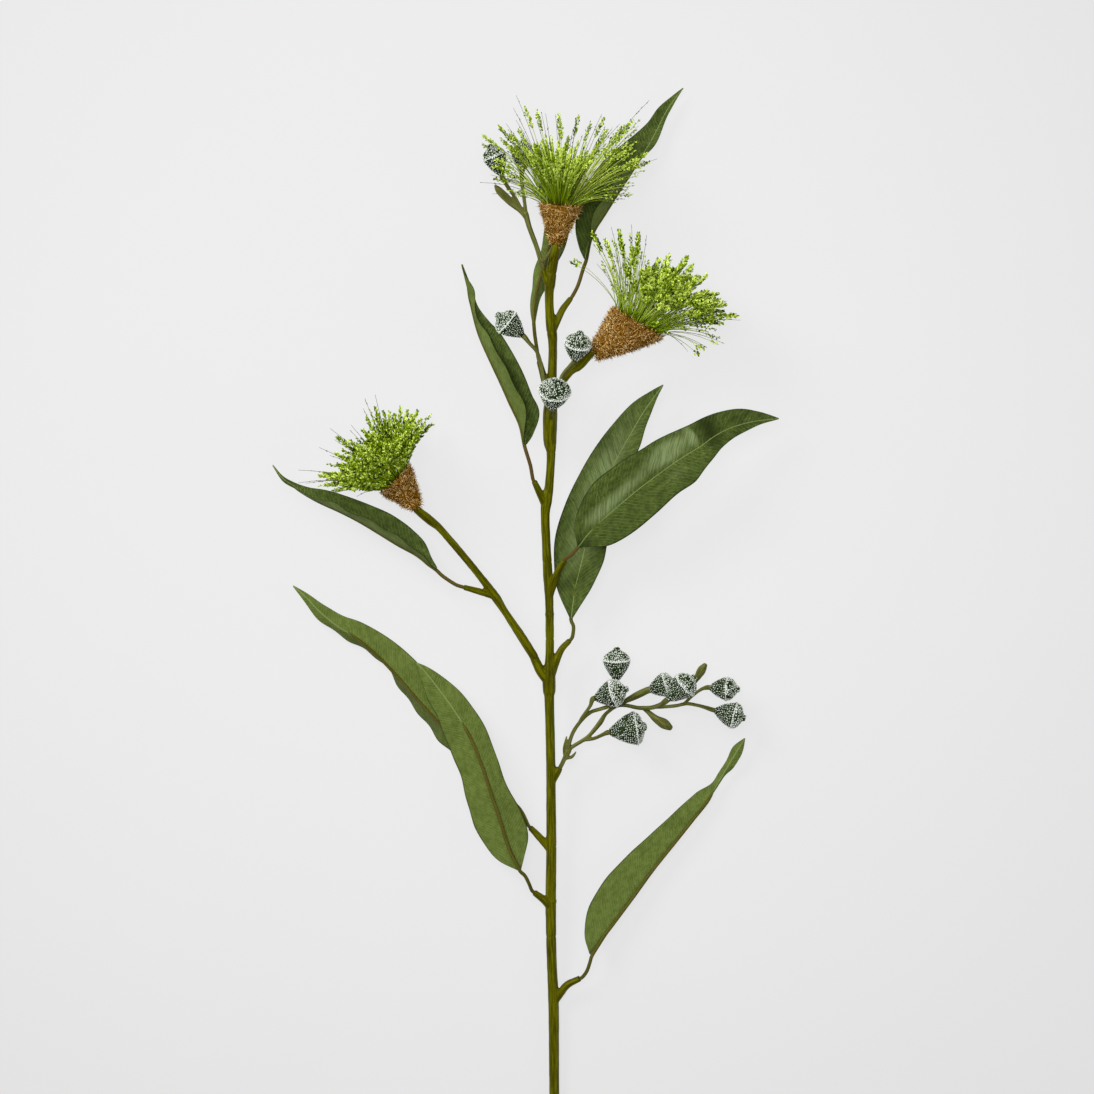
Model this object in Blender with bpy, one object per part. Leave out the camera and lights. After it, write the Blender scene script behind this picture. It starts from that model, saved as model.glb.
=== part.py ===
"""Flowering gum stem lying on a flat surface, built at real size in metres, +Z up.

The measurements below are millimetres: X to the right and Y towards the flowering
end, both from the middle of the stem's leafy length, and Z up from the surface.
"""

import math
import random

import bpy
import numpy as np
from mathutils import Vector

MM = 0.001
GAP = 0.3                 # clearance left at every plugged or glued seat
BLADE_THICK = 0.7         # fabric leaf
RIB_BASE = 1.15           # plastic rib, radius where it leaves the blade's base
RIB_TIP = 0.5             # and near the blade's tip
RIB_REACH = 0.86          # share of the blade's length that the rib follows
SEAT_REACH = 4.5          # a run that ends this near a gumnut or a cup carries it
STRAND_SEED = 11
STRAND_CLEARANCE = 3.8    # between a strand and any leaf, stem or nut
NUT_SIDES = 10

# height of the main stem's centre line: (Y, Z)
STEM_RISE = [(-457, 3.2), (-392, 3.7), (-300, 8.0), (-200, 14.5), (-100, 21.5), (0, 29.0), (100, 37.0), (194, 45.0)]

# main stem centre line with its sleeves and swellings: (X, Y, radius)
STEM = [
    (6.05, -456.9, 3.42),
    (5.35, -391.9, 3.37),
    (4.75, -355.6, 3.32),
    (4.35, -300.9, 3.52),
    (3.05, -268.4, 3.32),
    (2.45, -232.7, 3.52),
    (2.85, -197.0, 3.42),
    (2.65, -164.5, 3.22),
    (2.45, -138.5, 3.12),
    (1.55, -100.8, 3.22),
    (1.45, -94.2, 4.12),
    (1.35, -85.2, 4.32),
    (1.65, -73.5, 3.02),
    (1.85, -60.5, 2.82),
    (1.45, -34.5, 2.82),
    (0.55, -18.2, 3.22),
    (-0.45, 1.3, 2.92),
    (-1.15, 20.8, 3.02),
    (-0.15, 30.6, 3.62),
    (1.45, 40.3, 2.92),
    (2.65, 59.8, 2.92),
    (1.95, 68.9, 4.32),
    (2.05, 85.8, 4.72),
    (2.75, 98.8, 3.82),
    (3.45, 115.0, 3.02),
    (3.75, 131.3, 2.92),
    (2.95, 141.1, 3.52),
    (1.65, 152.8, 2.92),
    (1.45, 164.5, 3.02),
    (1.95, 169.7, 3.52),
    (3.05, 178.8, 3.42),
    (4.35, 187.2, 3.52),
    (5.55, 193.7, 3.32),
]

# sockets moulded on the main stem, each a run of (X, Y, Z, radius)
STEM_SOCKETS = {
    "lower_right": [
        (4.7, -297.6, 8.2, 2.4),
        (8.7, -291.8, 9.6, 2.6),
        (13.2, -285.9, 11.2, 2.5),
        (21.6, -281.4, 13.5, 2.0),
    ],
    "lower_left_front": [
        (2.9, -237.2, 12.1, 2.2),
        (-1.3, -230.8, 14.7, 2.6),
        (-8.5, -224.9, 17.5, 2.0),
    ],
    "lower_left_back": [
        (2.9, -198.9, 14.6, 2.2),
        (-3.2, -191.1, 14.8, 2.5),
        (-11.1, -182.7, 15.0, 1.9),
    ],
    "middle_right_back": [
        (2.3, -87.1, 22.5, 2.3),
        (5.2, -76.7, 22.8, 2.5),
        (9.1, -67.0, 23.4, 2.3),
        (15.0, -60.5, 24.0, 1.8),
    ],
    "branch_left": [
        (1.6, -89.0, 22.3, 2.6),
        (-3.9, -81.2, 24.0, 3.2),
        (-8.5, -71.5, 25.5, 2.9),
    ],
    "middle_right_front": [
        (1.3, -33.8, 26.5, 2.3),
        (3.9, -24.7, 29.0, 2.5),
        (7.2, -15.6, 32.5, 2.3),
        (11.7, -8.5, 36.0, 1.9),
    ],
    "upper_left": [
        (0.0, 24.1, 30.9, 2.3),
        (-3.9, 33.1, 33.0, 2.5),
        (-8.5, 42.9, 35.0, 1.9),
    ],
    "branch_right": [
        (2.6, 89.0, 36.1, 2.6),
        (6.5, 100.1, 38.5, 2.9),
        (10.4, 107.2, 39.5, 2.7),
    ],
    "top_back": [
        (2.0, 93.6, 36.5, 2.3),
        (-0.7, 104.7, 36.0, 2.4),
        (-3.9, 116.4, 35.6, 2.1),
        (-5.2, 120.9, 35.8, 1.8),
    ],
    "top_right": [
        (3.2, 137.2, 40.2, 2.2),
        (6.5, 146.2, 39.8, 2.4),
        (10.4, 154.1, 39.2, 2.2),
        (15.6, 161.2, 38.5, 1.8),
    ],
    "spray_lower": [
        (2.9, -154.1, 17.7, 2.0),
        (5.9, -148.8, 18.6, 2.2),
        (8.5, -143.7, 19.7, 1.9),
    ],
    "spray_middle": [
        (2.2, 81.2, 35.5, 2.0),
        (2.0, 85.2, 41.0, 1.9),
        (1.7, 87.8, 42.0, 1.8),
    ],
    "spray_upper": [
        (2.0, 165.8, 42.6, 2.0),
        (-0.7, 172.9, 44.2, 2.1),
        (-2.6, 179.4, 45.0, 1.8),
    ],
}

# the two flowering side branches, (X, Y, Z, radius)
BRANCH_LEFT = [
    (-17.4, -57.0, 27.0, 2.9),
    (-27.1, -42.3, 28.0, 2.4),
    (-33.5, -32.4, 28.6, 3.0),
    (-43.2, -19.3, 29.5, 2.4),
    (-56.1, -3.5, 31.0, 2.4),
    (-69.1, 11.6, 32.6, 2.4),
    (-76.0, 17.4, 33.3, 3.0),
    (-81.9, 22.3, 34.2, 2.7),
]
BRANCH_LEFT_SOCKETS = {
    "left": [
        (-34.0, -32.1, 28.5, 2.2),
        (-41.4, -29.6, 29.3, 2.3),
        (-54.0, -26.1, 31.0, 1.8),
    ],
}
BRANCH_RIGHT = [
    (15.6, 113.8, 41.0, 2.6),
    (21.4, 117.7, 42.6, 3.0),
    (29.4, 124.3, 44.6, 2.9),
]

# stalk of each leaf between its socket and its blade: (X, Y, Z, radius)
STALKS = {
    "lower_right": [
        (26.1, -276.3, 15.8, 1.2),
        (28.0, -270.5, 18.2, 1.2),
    ],
    "lower_left_front": [
        (-11.7, -219.1, 21.5, 1.2),
        (-14.3, -213.8, 24.0, 1.2),
    ],
    "lower_left_back": [
        (-14.6, -176.2, 15.4, 1.2),
        (-17.2, -171.6, 16.2, 1.2),
    ],
    "middle_right_back": [
        (17.0, -55.9, 24.3, 1.2),
        (17.2, -51.4, 23.9, 1.2),
    ],
    "middle_right_front": [
        (15.6, -5.2, 38.0, 1.2),
        (18.2, -2.3, 38.9, 1.2),
    ],
    "upper_left": [
        (-10.7, 52.6, 37.3, 1.2),
        (-13.3, 61.1, 38.7, 1.2),
    ],
    "left": [
        (-59.8, -24.1, 31.6, 1.2),
        (-67.6, -18.9, 31.9, 1.2),
    ],
    "top_right": [
        (20.2, 169.7, 36.2, 1.2),
        (23.4, 180.1, 34.3, 1.2),
    ],
    "top_back": [
        (-6.5, 128.1, 37.6, 1.2),
        (-7.8, 136.5, 39.0, 1.2),
    ],
}

# blades by stations along the midrib:
# (X, Y, Z, left half-width, right half-width, roll, fold), the angles in degrees;
# a positive fold lifts both margins, and the rib runs on the outside of the fold
BLADES = {
    "lower_right": [
        (28.2, -265.5, 17.2, 0.7, 0.7, 40.0, -40.0),
        (33.2, -257.9, 16.2, 11.1, 9.1, 60.0, -62.0),
        (42.1, -246.0, 15.2, 18.9, 15.6, 68.0, -68.0),
        (55.6, -228.1, 13.7, 21.4, 18.2, 70.0, -70.0),
        (68.8, -210.1, 12.2, 18.2, 16.9, 70.0, -70.0),
        (81.9, -193.9, 11.2, 15.0, 14.3, 70.0, -70.0),
        (94.9, -177.7, 10.2, 11.7, 11.7, 66.0, -68.0),
        (104.5, -165.9, 9.2, 9.1, 9.8, 50.0, -65.0),
        (111.9, -153.8, 9.2, 4.5, 5.2, 10.0, -74.0),
        (118.9, -141.8, 10.2, 3.6, 3.9, -5.0, -35.0),
        (124.5, -132.6, 11.2, 3.9, 3.6, -5.0, -25.0),
        (129.1, -124.9, 12.2, 0.4, 0.4, 0.0, -20.0),
    ],
    "lower_left_front": [
        (-17.5, -210.5, 24.0, 0.7, 0.7, 0.0, -10.0),
        (-24.6, -196.3, 25.0, 11.7, 13.7, 3.0, -14.0),
        (-30.4, -177.9, 25.0, 17.6, 15.6, 3.0, -18.0),
        (-36.0, -161.4, 25.0, 16.9, 12.5, 3.0, -18.0),
        (-42.4, -141.9, 24.0, 16.2, 11.1, 0.0, -18.0),
        (-49.6, -124.4, 23.0, 16.2, 12.1, 0.0, -18.0),
        (-59.2, -108.1, 21.5, 13.0, 11.4, 0.0, -16.0),
        (-70.0, -93.2, 20.0, 9.8, 8.6, 0.0, -12.0),
        (-78.9, -81.9, 18.5, 4.5, 4.1, 0.0, -8.0),
        (-85.2, -75.4, 18.0, 0.4, 0.4, 0.0, 0.0),
    ],
    "lower_left_back": [
        (-19.5, -168.3, 15.0, 0.7, 0.7, -10.0, -10.0),
        (-34.6, -154.2, 14.0, 9.8, 4.5, -20.0, -24.0),
        (-51.1, -137.3, 13.5, 13.7, 8.0, -28.0, -32.0),
        (-68.6, -116.5, 13.0, 15.6, 12.5, -30.0, -34.0),
        (-83.4, -100.3, 13.0, 15.6, 15.6, -33.0, -36.0),
        (-96.4, -85.3, 13.0, 14.3, 15.6, -38.0, -42.0),
        (-109.3, -71.7, 13.0, 11.7, 13.8, -38.0, -44.0),
        (-123.5, -59.7, 13.0, 9.1, 10.8, -32.0, -38.0),
        (-136.2, -51.9, 12.0, 5.9, 8.0, -15.0, -28.0),
        (-148.0, -42.6, 11.0, 4.5, 5.5, -5.0, -20.0),
        (-157.5, -32.7, 10.0, 2.6, 2.6, 0.0, -10.0),
        (-165.8, -25.4, 10.0, 0.4, 0.4, 0.0, 0.0),
    ],
    "middle_right_back": [
        (15.6, -46.8, 25, 0.7, 0.7, 0, 10),
        (18.2, -27.9, 23, 12.3, 9.8, -10, 14),
        (22.1, -11.7, 21.5, 18.2, 14.3, -12, 16),
        (26.0, 4.5, 20.5, 20.8, 15.6, -14, 17),
        (31.2, 24.1, 20, 19.5, 16.9, -14, 17),
        (37.1, 40.3, 20, 17.6, 16.9, -14, 17),
        (44.2, 55.2, 20.5, 16.2, 13.0, -14, 17),
        (53.3, 71.5, 22, 13.7, 9.8, -14, 16),
        (62.4, 87.1, 24, 9.8, 5.2, -12, 14),
        (70.2, 98.2, 26, 4.5, 2.0, -8, 10),
        (75.4, 105.3, 27, 0.4, 0.4, 0, 0),
    ],
    "middle_right_front": [
        (20.2, 0.0, 41, 0.7, 0.7, 0, 4),
        (27.9, 9.8, 42, 13.0, 13.7, 4, 8),
        (41.0, 22.1, 43.5, 21.4, 18.9, 5, 10),
        (57.2, 35.8, 45.5, 22.1, 19.5, 5, 10),
        (73.5, 48.1, 47.5, 20.2, 17.6, 5, 10),
        (86.5, 57.2, 49.5, 18.2, 17.6, 4, 9),
        (98.2, 64.4, 51, 16.2, 12.2, 4, 8),
        (107.2, 70.9, 49.5, 14.3, 9.1, 2, 6),
        (116.4, 76.0, 46, 12.3, 7.2, 0, 6),
        (126.8, 79.6, 41.5, 10.1, 5.2, 0, 6),
        (137.8, 81.9, 37, 5.9, 2.6, 0, 4),
        (150.2, 83.2, 33, 0.4, 0.4, 0, 0),
    ],
    "upper_left": [
        (-13.7, 66.3, 40.0, 0.7, 0.7, 30.0, 30.0),
        (-14.9, 72.6, 39.5, 5.2, 7.0, 50.0, 56.0),
        (-18.0, 82.2, 39.0, 11.1, 14.4, 60.0, 64.0),
        (-22.8, 92.0, 38.5, 13.0, 14.9, 62.0, 66.0),
        (-29.3, 106.3, 38.0, 13.0, 15.6, 62.0, 66.0),
        (-35.8, 119.9, 38.0, 11.7, 15.0, 62.0, 66.0),
        (-42.4, 134.3, 38.0, 9.1, 13.0, 62.0, 66.0),
        (-45.7, 144.0, 38.5, 5.9, 8.8, 64.0, 68.0),
        (-48.4, 155.0, 39.5, 3.9, 4.2, 72.0, 72.0),
        (-51.1, 166.1, 41.0, 5.2, 3.3, 70.0, 78.0),
        (-53.2, 174.7, 42.0, 2.6, 1.8, 60.0, 70.0),
        (-54.9, 182.7, 43.0, 0.4, 0.4, 30.0, 30.0),
    ],
    "left": [
        (-71.5, -13.9, 33.0, 0.7, 0.7, 30.0, 30.0),
        (-77.4, -9.7, 32.5, 4.5, 4.2, 50.0, 58.0),
        (-85.5, -3.9, 32.0, 9.1, 10.2, 54.0, 60.0),
        (-95.2, 1.2, 32.0, 11.1, 13.4, 55.0, 60.0),
        (-108.2, 9.0, 32.0, 11.7, 14.4, 55.0, 60.0),
        (-121.2, 16.7, 32.0, 11.7, 12.6, 54.0, 59.0),
        (-134.3, 23.3, 32.0, 10.4, 10.9, 54.0, 59.0),
        (-147.3, 29.1, 32.5, 7.8, 9.0, 52.0, 57.0),
        (-157.0, 34.4, 33.0, 3.9, 5.2, 48.0, 53.0),
        (-165.5, 40.2, 33.0, 2.0, 2.4, 40.0, 45.0),
        (-172.2, 45.3, 32.5, 1.0, 1.3, 20.0, 25.0),
        (-177.8, 53.0, 32.0, 0.4, 0.4, 0.0, 0.0),
    ],
    "top_right": [
        (24.7, 186.6, 33.0, 0.7, 0.7, -25, 25),
        (26.4, 194.8, 30.0, 6.5, 3.9, -45, 52),
        (30.0, 205.7, 25.5, 13.0, 9.1, -54, 60),
        (36.5, 216.1, 21.0, 18.9, 12.3, -58, 64),
        (44.2, 228.4, 16.5, 20.2, 13.0, -58, 64),
        (52.1, 240.7, 13.0, 18.9, 11.7, -55, 62),
        (59.9, 252.5, 11.0, 15.6, 5.6, -40, 50),
        (66.3, 262.2, 10.0, 12.3, 4.5, -18, 34),
        (72.2, 273.3, 9.0, 7.8, 3.2, -8, 22),
        (77.4, 283.7, 9.0, 5.9, 2.4, -3, 14),
        (83.5, 292.9, 9.5, 2.6, 1.2, 0, 8),
        (89.0, 299.7, 10.0, 0.4, 0.2, 0, 0),
    ],
    "top_back": [
        (-8.5, 143.7, 38, 0.7, 0.7, 0, -20),
        (-8.5, 152.8, 36, 2.6, 2.6, 0, -45),
        (-7.2, 163.8, 33.5, 4.5, 5.2, 5, -52),
        (-4.5, 174.8, 30.5, 5.6, 8.5, 5, -50),
        (-0.7, 187.8, 26, 5.2, 10.4, 0, -42),
        (3.2, 202.2, 20.5, 6.0, 11.1, 0, -30),
        (7.2, 217.8, 15, 7.5, 10.4, 0, -22),
        (10.4, 232.1, 11, 7.8, 8.5, 0, -16),
        (12.3, 243.8, 9, 5.2, 5.2, 0, -10),
        (13.7, 254.8, 8, 0.4, 0.4, 0, 0),
    ],
}

# flower cups: apex (X, Y, Z), middle of the rim (X, Y, Z), rim radius
CUPS = {
    "top": ((5.9, 195.0, 45.2), (8.5, 220.0, 46.2), 12.5),
    "right": ((30.2, 126.0, 44.8), (58.5, 144.4, 48.0), 18.0),
    "left": ((-84.4, 25.2, 34.6), (-97.6, 43.7, 36.0), 12.4),
}

# the way each cup's base faces and the way its mouth faces, and its base radius as a share of the rim's
CUP_TURNS = {
    "top": ((0.1, 0.99, 0.04), (0.08, 0.995, 0.04), 0.24),
    "right": ((0.96, 0.28, 0.08), (0.5, 0.865, 0.05), 0.3),
    "left": ((-0.5, 0.86, 0.07), (-0.7, 0.71, 0.05), 0.27),
}

# filament heads: direction of the head (X, Y, Z), its half-angle in degrees,
# shortest and longest strand from the middle of the rim
HEADS = {
    "top": ((0.12, 0.99, 0.03), 80, 46, 73),
    "right": ((0.56, 0.83, 0.05), 82, 46, 70),
    "left": ((-0.66, 0.76, 0.05), 70, 38, 57),
}
STRANDS = 70

# gumnuts: middle of the base, tip, rim radius, share of the length below the rim
NUTS = {
    "u1": ((-29.2, 239.6, 51.8), (-37.2, 259.4, 54), 7.6, 0.6),
    "u2": ((-16.2, 241.8, 52), (-15.0, 262.9, 54.5), 7.6, 0.6),
    "a": ((-15.8, 136.6, 46), (-32.9, 150.6, 49), 8.6, 0.58),
    "b": ((17.6, 120.6, 49.4), (21.6, 138.8, 59.4), 8.8, 0.54),
    "c": ((2.9, 89.7, 47.8), (6.2, 107.3, 63.3), 10.4, 0.61),
    "g1": ((45.1, -86.6, 27), (45.3, -64.9, 30), 8.8, 0.6),
    "g2": ((31.2, -98.2, 31), (52.6, -91.6, 37.0), 9.0, 0.56),
    "g3": ((40.8, -120.4, 25), (64.8, -116.6, 23.6), 10.6, 0.69),
    "g4": ((66.3, -92.9, 25), (84.3, -87.1, 26.5), 8.2, 0.6),
    "g5": ((77.9, -98.9, 36.6), (95.8, -83.4, 43.0), 8.5, 0.63),
    "g6": ((106.0, -91.6, 19.5), (125.6, -92.6, 23), 7.6, 0.57),
    "g7": ((109.3, -106.3, 23), (129.1, -111.6, 25), 8.6, 0.62),
}

# sprays that carry the gumnuts: runs of (X, Y, Z, radius), fused into one piece each
SPRAYS = {
    "upper": [
        [
            (-6.5, 193.1, 46.5, 1.6),
            (-11.1, 205.4, 48.4, 1.7),
            (-13.7, 214.5, 49.4, 1.9),
        ],
        [
            (-11.7, 208.7, 48.8, 1.2),
            (-20.8, 225.6, 50.2, 1.2),
            (-25.4, 232.2, 51, 1.3),
            (-28.8, 237.9, 51.5, 1.6),
        ],
        [
            (-13.0, 211.2, 49, 1.2),
            (-14.6, 223.0, 50.4, 1.2),
            (-15.9, 232.1, 51.2, 1.3),
            (-16.2, 240.0, 51.7, 1.6),
        ],
        [
            (-12.3, 210.0, 48.9, 1.1),
            (-16.9, 216.5, 49.4, 1.6),
            (-24.1, 223.0, 49.8, 2.5),
            (-30.6, 229.5, 50, 2.4),
            (-33.5, 233.0, 50.1, 0.8),
        ],
        [
            (-4.2, 185.2, 45.5, 1.2),
            (-2.0, 185.2, 48.5, 1.3),
            (1.3, 189.2, 52, 0.9),
            (3.2, 193.1, 53, 0.5),
        ],
    ],
    "middle": [
        [
            (1.6, 91.0, 43.5, 1.6),
            (1.6, 94.2, 44.2, 2.0),
        ],
        [
            (1.6, 92.3, 43.8, 1.5),
            (2.2, 89.8, 45, 1.7),
            (2.5, 89.2, 46.6, 2.2),
        ],
        [
            (1.6, 93.0, 43.8, 1.3),
            (-1.0, 102.0, 43.8, 1.3),
            (-3.2, 113.8, 44.0, 1.3),
            (-6.2, 125.5, 44.8, 1.3),
            (-11.1, 131.3, 45.4, 1.3),
            (-16.0, 136.2, 45.8, 1.7),
        ],
        [
            (1.6, 93.0, 43.8, 1.3),
            (6.5, 100.8, 45.3, 1.3),
            (9.8, 110.5, 48.0, 1.3),
            (14.6, 116.2, 49.0, 1.5),
            (17.0, 119.0, 49.0, 1.8),
        ],
    ],
    "lower": [
        [
            (11.4, -137.8, 21.2, 1.5),
            (14.0, -132.6, 22.8, 1.9),
        ],
        [
            (12.3, -135.8, 21.8, 1.4),
            (16.2, -122.2, 24.2, 1.3),
            (21.4, -113.8, 25.4, 1.3),
            (27.9, -107.6, 26, 1.3),
            (34.5, -105.3, 26, 1.3),
            (42.2, -103.0, 26.2, 1.4),
            (50.7, -100.1, 26.0, 1.7),
            (58.8, -96.2, 25.2, 2.4),
            (65.0, -93.5, 25.0, 2.3),
        ],
        [
            (20.2, -115.7, 25.2, 1.2),
            (23.4, -109.9, 26.4, 1.2),
            (27.9, -103.4, 29, 1.2),
            (31.0, -100.9, 30.5, 1.7),
        ],
        [
            (12.3, -135.8, 21.8, 1.4),
            (15.6, -130.7, 22.3, 1.3),
            (22.8, -126.1, 22, 1.3),
            (27.9, -122.2, 21.8, 1.3),
            (34.5, -114.4, 21.3, 1.7),
            (38.4, -108.5, 20.8, 1.3),
            (44.9, -103.7, 20.4, 1.3),
            (50.7, -103.0, 20.6, 1.3),
            (59.5, -104.6, 22.2, 1.4),
            (67.5, -104.4, 26.5, 1.5),
            (73.4, -102.4, 31.8, 1.6),
            (76.8, -99.9, 35.6, 2.0),
        ],
        [
            (61.0, -104.6, 22.9, 1.3),
            (72.0, -104.2, 21.6, 1.2),
            (83.2, -103.4, 21.2, 1.2),
            (91.0, -102.0, 20.6, 1.2),
            (99.5, -103.4, 21.6, 1.2),
            (107.2, -104.9, 22.6, 1.6),
        ],
        [
            (89.0, -102.3, 20.8, 1.1),
            (94.2, -97.5, 16.4, 1.1),
            (100.1, -93.0, 16.6, 1.1),
            (105.0, -91.7, 18.8, 1.6),
        ],
        [
            (94.2, -97.5, 16.4, 1.1),
            (96.2, -89.0, 15.4, 1.2),
            (98.4, -84.4, 16.0, 2.3),
            (100.8, -80.2, 16.6, 2.9),
            (103.2, -76.6, 17.2, 1.5),
        ],
        [
            (23.4, -125.8, 22, 1.1),
            (30.6, -124.5, 23, 1.2),
            (35.8, -122.2, 24, 1.3),
            (39.5, -121.0, 24.7, 1.7),
        ],
        [
            (40.3, -104.0, 26, 1.1),
            (42.9, -97.5, 24, 1.1),
            (43.9, -90.4, 24.8, 1.2),
            (44.2, -85.3, 26.6, 1.6),
        ],
        [
            (61.6, -104.0, 22.0, 1.1),
            (66.6, -108.0, 22.0, 1.7),
            (70.6, -111.6, 22.6, 2.4),
            (76.2, -115.0, 23.4, 3.4),
            (80.6, -117.8, 24, 1.8),
        ],
        [
            (11.7, -137.2, 21.3, 1.0),
            (11.4, -130.7, 22.8, 1.2),
            (12.7, -123.5, 23.6, 0.6),
        ],
        [
            (12.0, -137.8, 21.2, 0.9),
            (16.2, -136.5, 22.2, 1.1),
            (18.9, -133.2, 22.8, 0.5),
        ],
    ],
}


def clear_scene():
    for obj in list(bpy.data.objects):
        bpy.data.objects.remove(obj, do_unlink=True)


def material(name, colour, roughness):
    made = bpy.data.materials.new(name)
    made.use_nodes = True
    shader = made.node_tree.nodes["Principled BSDF"]
    shader.inputs["Base Color"].default_value = (*colour, 1.0)
    shader.inputs["Roughness"].default_value = roughness
    return made


def smooth(points, per_span):
    """Rows on a Catmull-Rom curve through all columns of the points."""
    rows = np.array(points, float)
    padded = np.vstack([2 * rows[0] - rows[1], rows, 2 * rows[-1] - rows[-2]])
    out = []
    for i in range(1, len(padded) - 2):
        a, b, c, d = padded[i - 1:i + 3]
        for k in range(per_span):
            t = k / per_span
            out.append(0.5 * (2 * b + (c - a) * t + (2 * a - 5 * b + 4 * c - d) * t * t
                              + (3 * b - a - 3 * c + d) * t ** 3))
    out.append(rows[-1])
    return np.array(out)


def mesh_object(name, points, faces, finish):
    mesh = bpy.data.meshes.new(name)
    mesh.from_pydata([tuple(MM * v for v in p) for p in points], [], faces)
    mesh.materials.append(finish)
    made = bpy.data.objects.new(name, mesh)
    bpy.context.scene.collection.objects.link(made)
    return made


def tube_faces(path, radii, sides):
    """Points and faces of a loft of rings along a path, closed at both ends."""
    path = np.array(path, float)
    across = None
    points = []
    for i, centre in enumerate(path):
        ahead = path[min(i + 1, len(path) - 1)] - path[max(i - 1, 0)]
        ahead = ahead / np.linalg.norm(ahead)
        if across is None:
            start = np.array([0.0, 0.0, 1.0]) if abs(ahead[2]) < 0.9 else np.array([1.0, 0.0, 0.0])
            across = np.cross(ahead, start)
        across = across - ahead * np.dot(across, ahead)
        across = across / np.linalg.norm(across)
        up = np.cross(ahead, across)
        for k in range(sides):
            turn = 2 * math.pi * k / sides
            points.append(centre + radii[i] * (math.cos(turn) * across + math.sin(turn) * up))
    faces = []
    for i in range(len(path) - 1):
        for k in range(sides):
            a, b = i * sides + k, i * sides + (k + 1) % sides
            faces.append((a, b, b + sides, a + sides))
    faces.append(tuple(range(sides))[::-1])
    faces.append(tuple(range((len(path) - 1) * sides, len(path) * sides)))
    return points, faces


def tube(name, rows, sides, finish, per_span=3):
    """A tapered tube along a run of (X, Y, Z, radius)."""
    rows = smooth(rows, per_span)
    return mesh_object(name, *tube_faces(rows[:, :3], rows[:, 3], sides), finish)


def turned(name, start, end, profile, sides, finish):
    """A solid of revolution about the line from start to end; the profile holds (radius, distance)."""
    axis = Vector(end) - Vector(start)
    points, faces = [(0.0, 0.0, profile[0][1])], []
    for radius, along in profile[1:-1]:
        for k in range(sides):
            turn = 2 * math.pi * k / sides
            points.append((radius * math.cos(turn), radius * math.sin(turn), along))
    points.append((0.0, 0.0, profile[-1][1]))
    rings = len(profile) - 2
    for k in range(sides):
        after = (k + 1) % sides
        faces.append((0, 1 + after, 1 + k))
        for i in range(rings - 1):
            a, b = 1 + i * sides + k, 1 + i * sides + after
            faces.append((a, b, b + sides, a + sides))
        last = 1 + (rings - 1) * sides
        faces.append((last + k, last + after, len(points) - 1))
    made = mesh_object(name, points, faces, finish)
    made.rotation_mode = "QUATERNION"
    made.rotation_quaternion = axis.to_track_quat("Z", "Y")
    made.location = Vector(start) * MM
    return made


def fuse(name, pieces, finish):
    """One Boolean union of the pieces, as a single named object."""
    base, rest = pieces[0], pieces[1:]
    if rest:
        others = bpy.data.collections.new(name + "_parts")
        for piece in rest:
            bpy.context.scene.collection.objects.unlink(piece)
            others.objects.link(piece)
        bpy.context.scene.collection.children.link(others)
        union = base.modifiers.new("union", "BOOLEAN")
        union.operation = "UNION"
        union.operand_type = "COLLECTION"
        union.collection = others
        union.solver = "MANIFOLD"
        bpy.context.view_layer.update()
        graph = bpy.context.evaluated_depsgraph_get()
        mesh = bpy.data.meshes.new_from_object(base.evaluated_get(graph))
        base.modifiers.clear()
        base.data = mesh
        for piece in list(others.objects):
            bpy.data.objects.remove(piece, do_unlink=True)
        bpy.data.collections.remove(others)
    base.name = name
    base.data.name = name
    base.data.materials.clear()
    base.data.materials.append(finish)
    return base


def beyond(run, more=GAP):
    """The point a gap past the end of a run, in line with its last stretch."""
    last, before = np.array(run[-1][:3], float), np.array(run[-2][:3], float)
    ahead = (last - before) / np.linalg.norm(last - before)
    return last + ahead * more


def seated(run):
    """The run, its end turned square to the gumnut or cup that it carries and a gap off it."""
    end = np.array(run[-1][:3], float)
    seats = [(nut[0], nut[1]) for nut in NUTS.values()]
    seats += [(cup[0], np.add(cup[0], CUP_TURNS[name][0])) for name, cup in CUPS.items()]
    for start, toward in seats:
        base = np.array(start, float)
        if np.linalg.norm(base - end) > SEAT_REACH:
            continue
        axis = (np.array(toward, float) - base) / np.linalg.norm(np.array(toward, float) - base)
        radius = run[-1][3]
        return run[:-1] + [(*(base - axis * 1.9), radius), (*(base - axis * GAP), radius)]
    return run


def plugged(socket, run):
    """The run with a short straight start that faces the end of its socket squarely."""
    start = [(*beyond(socket, GAP), run[0][3]), (*beyond(socket, GAP + 1.5), run[0][3])]
    return start + [tuple(row) for row in run]


def blade_frames(stations, per_span):
    """Rows of a blade: centre, leftward and upward unit vectors, half-widths, roll and fold."""
    rows = smooth(stations, per_span)
    frames = []
    for i, row in enumerate(rows):
        ahead = rows[min(i + 1, len(rows) - 1)][:3] - rows[max(i - 1, 0)][:3]
        ahead = ahead / np.linalg.norm(ahead)
        left = np.cross([0.0, 0.0, 1.0], ahead)
        left = left / np.linalg.norm(left)
        up = np.cross(ahead, left)
        roll, fold = math.radians(row[5]), math.radians(row[6])
        frames.append((row[:3], left, up, max(row[3], 0.35), max(row[4], 0.35), roll, fold))
    return frames


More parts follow.
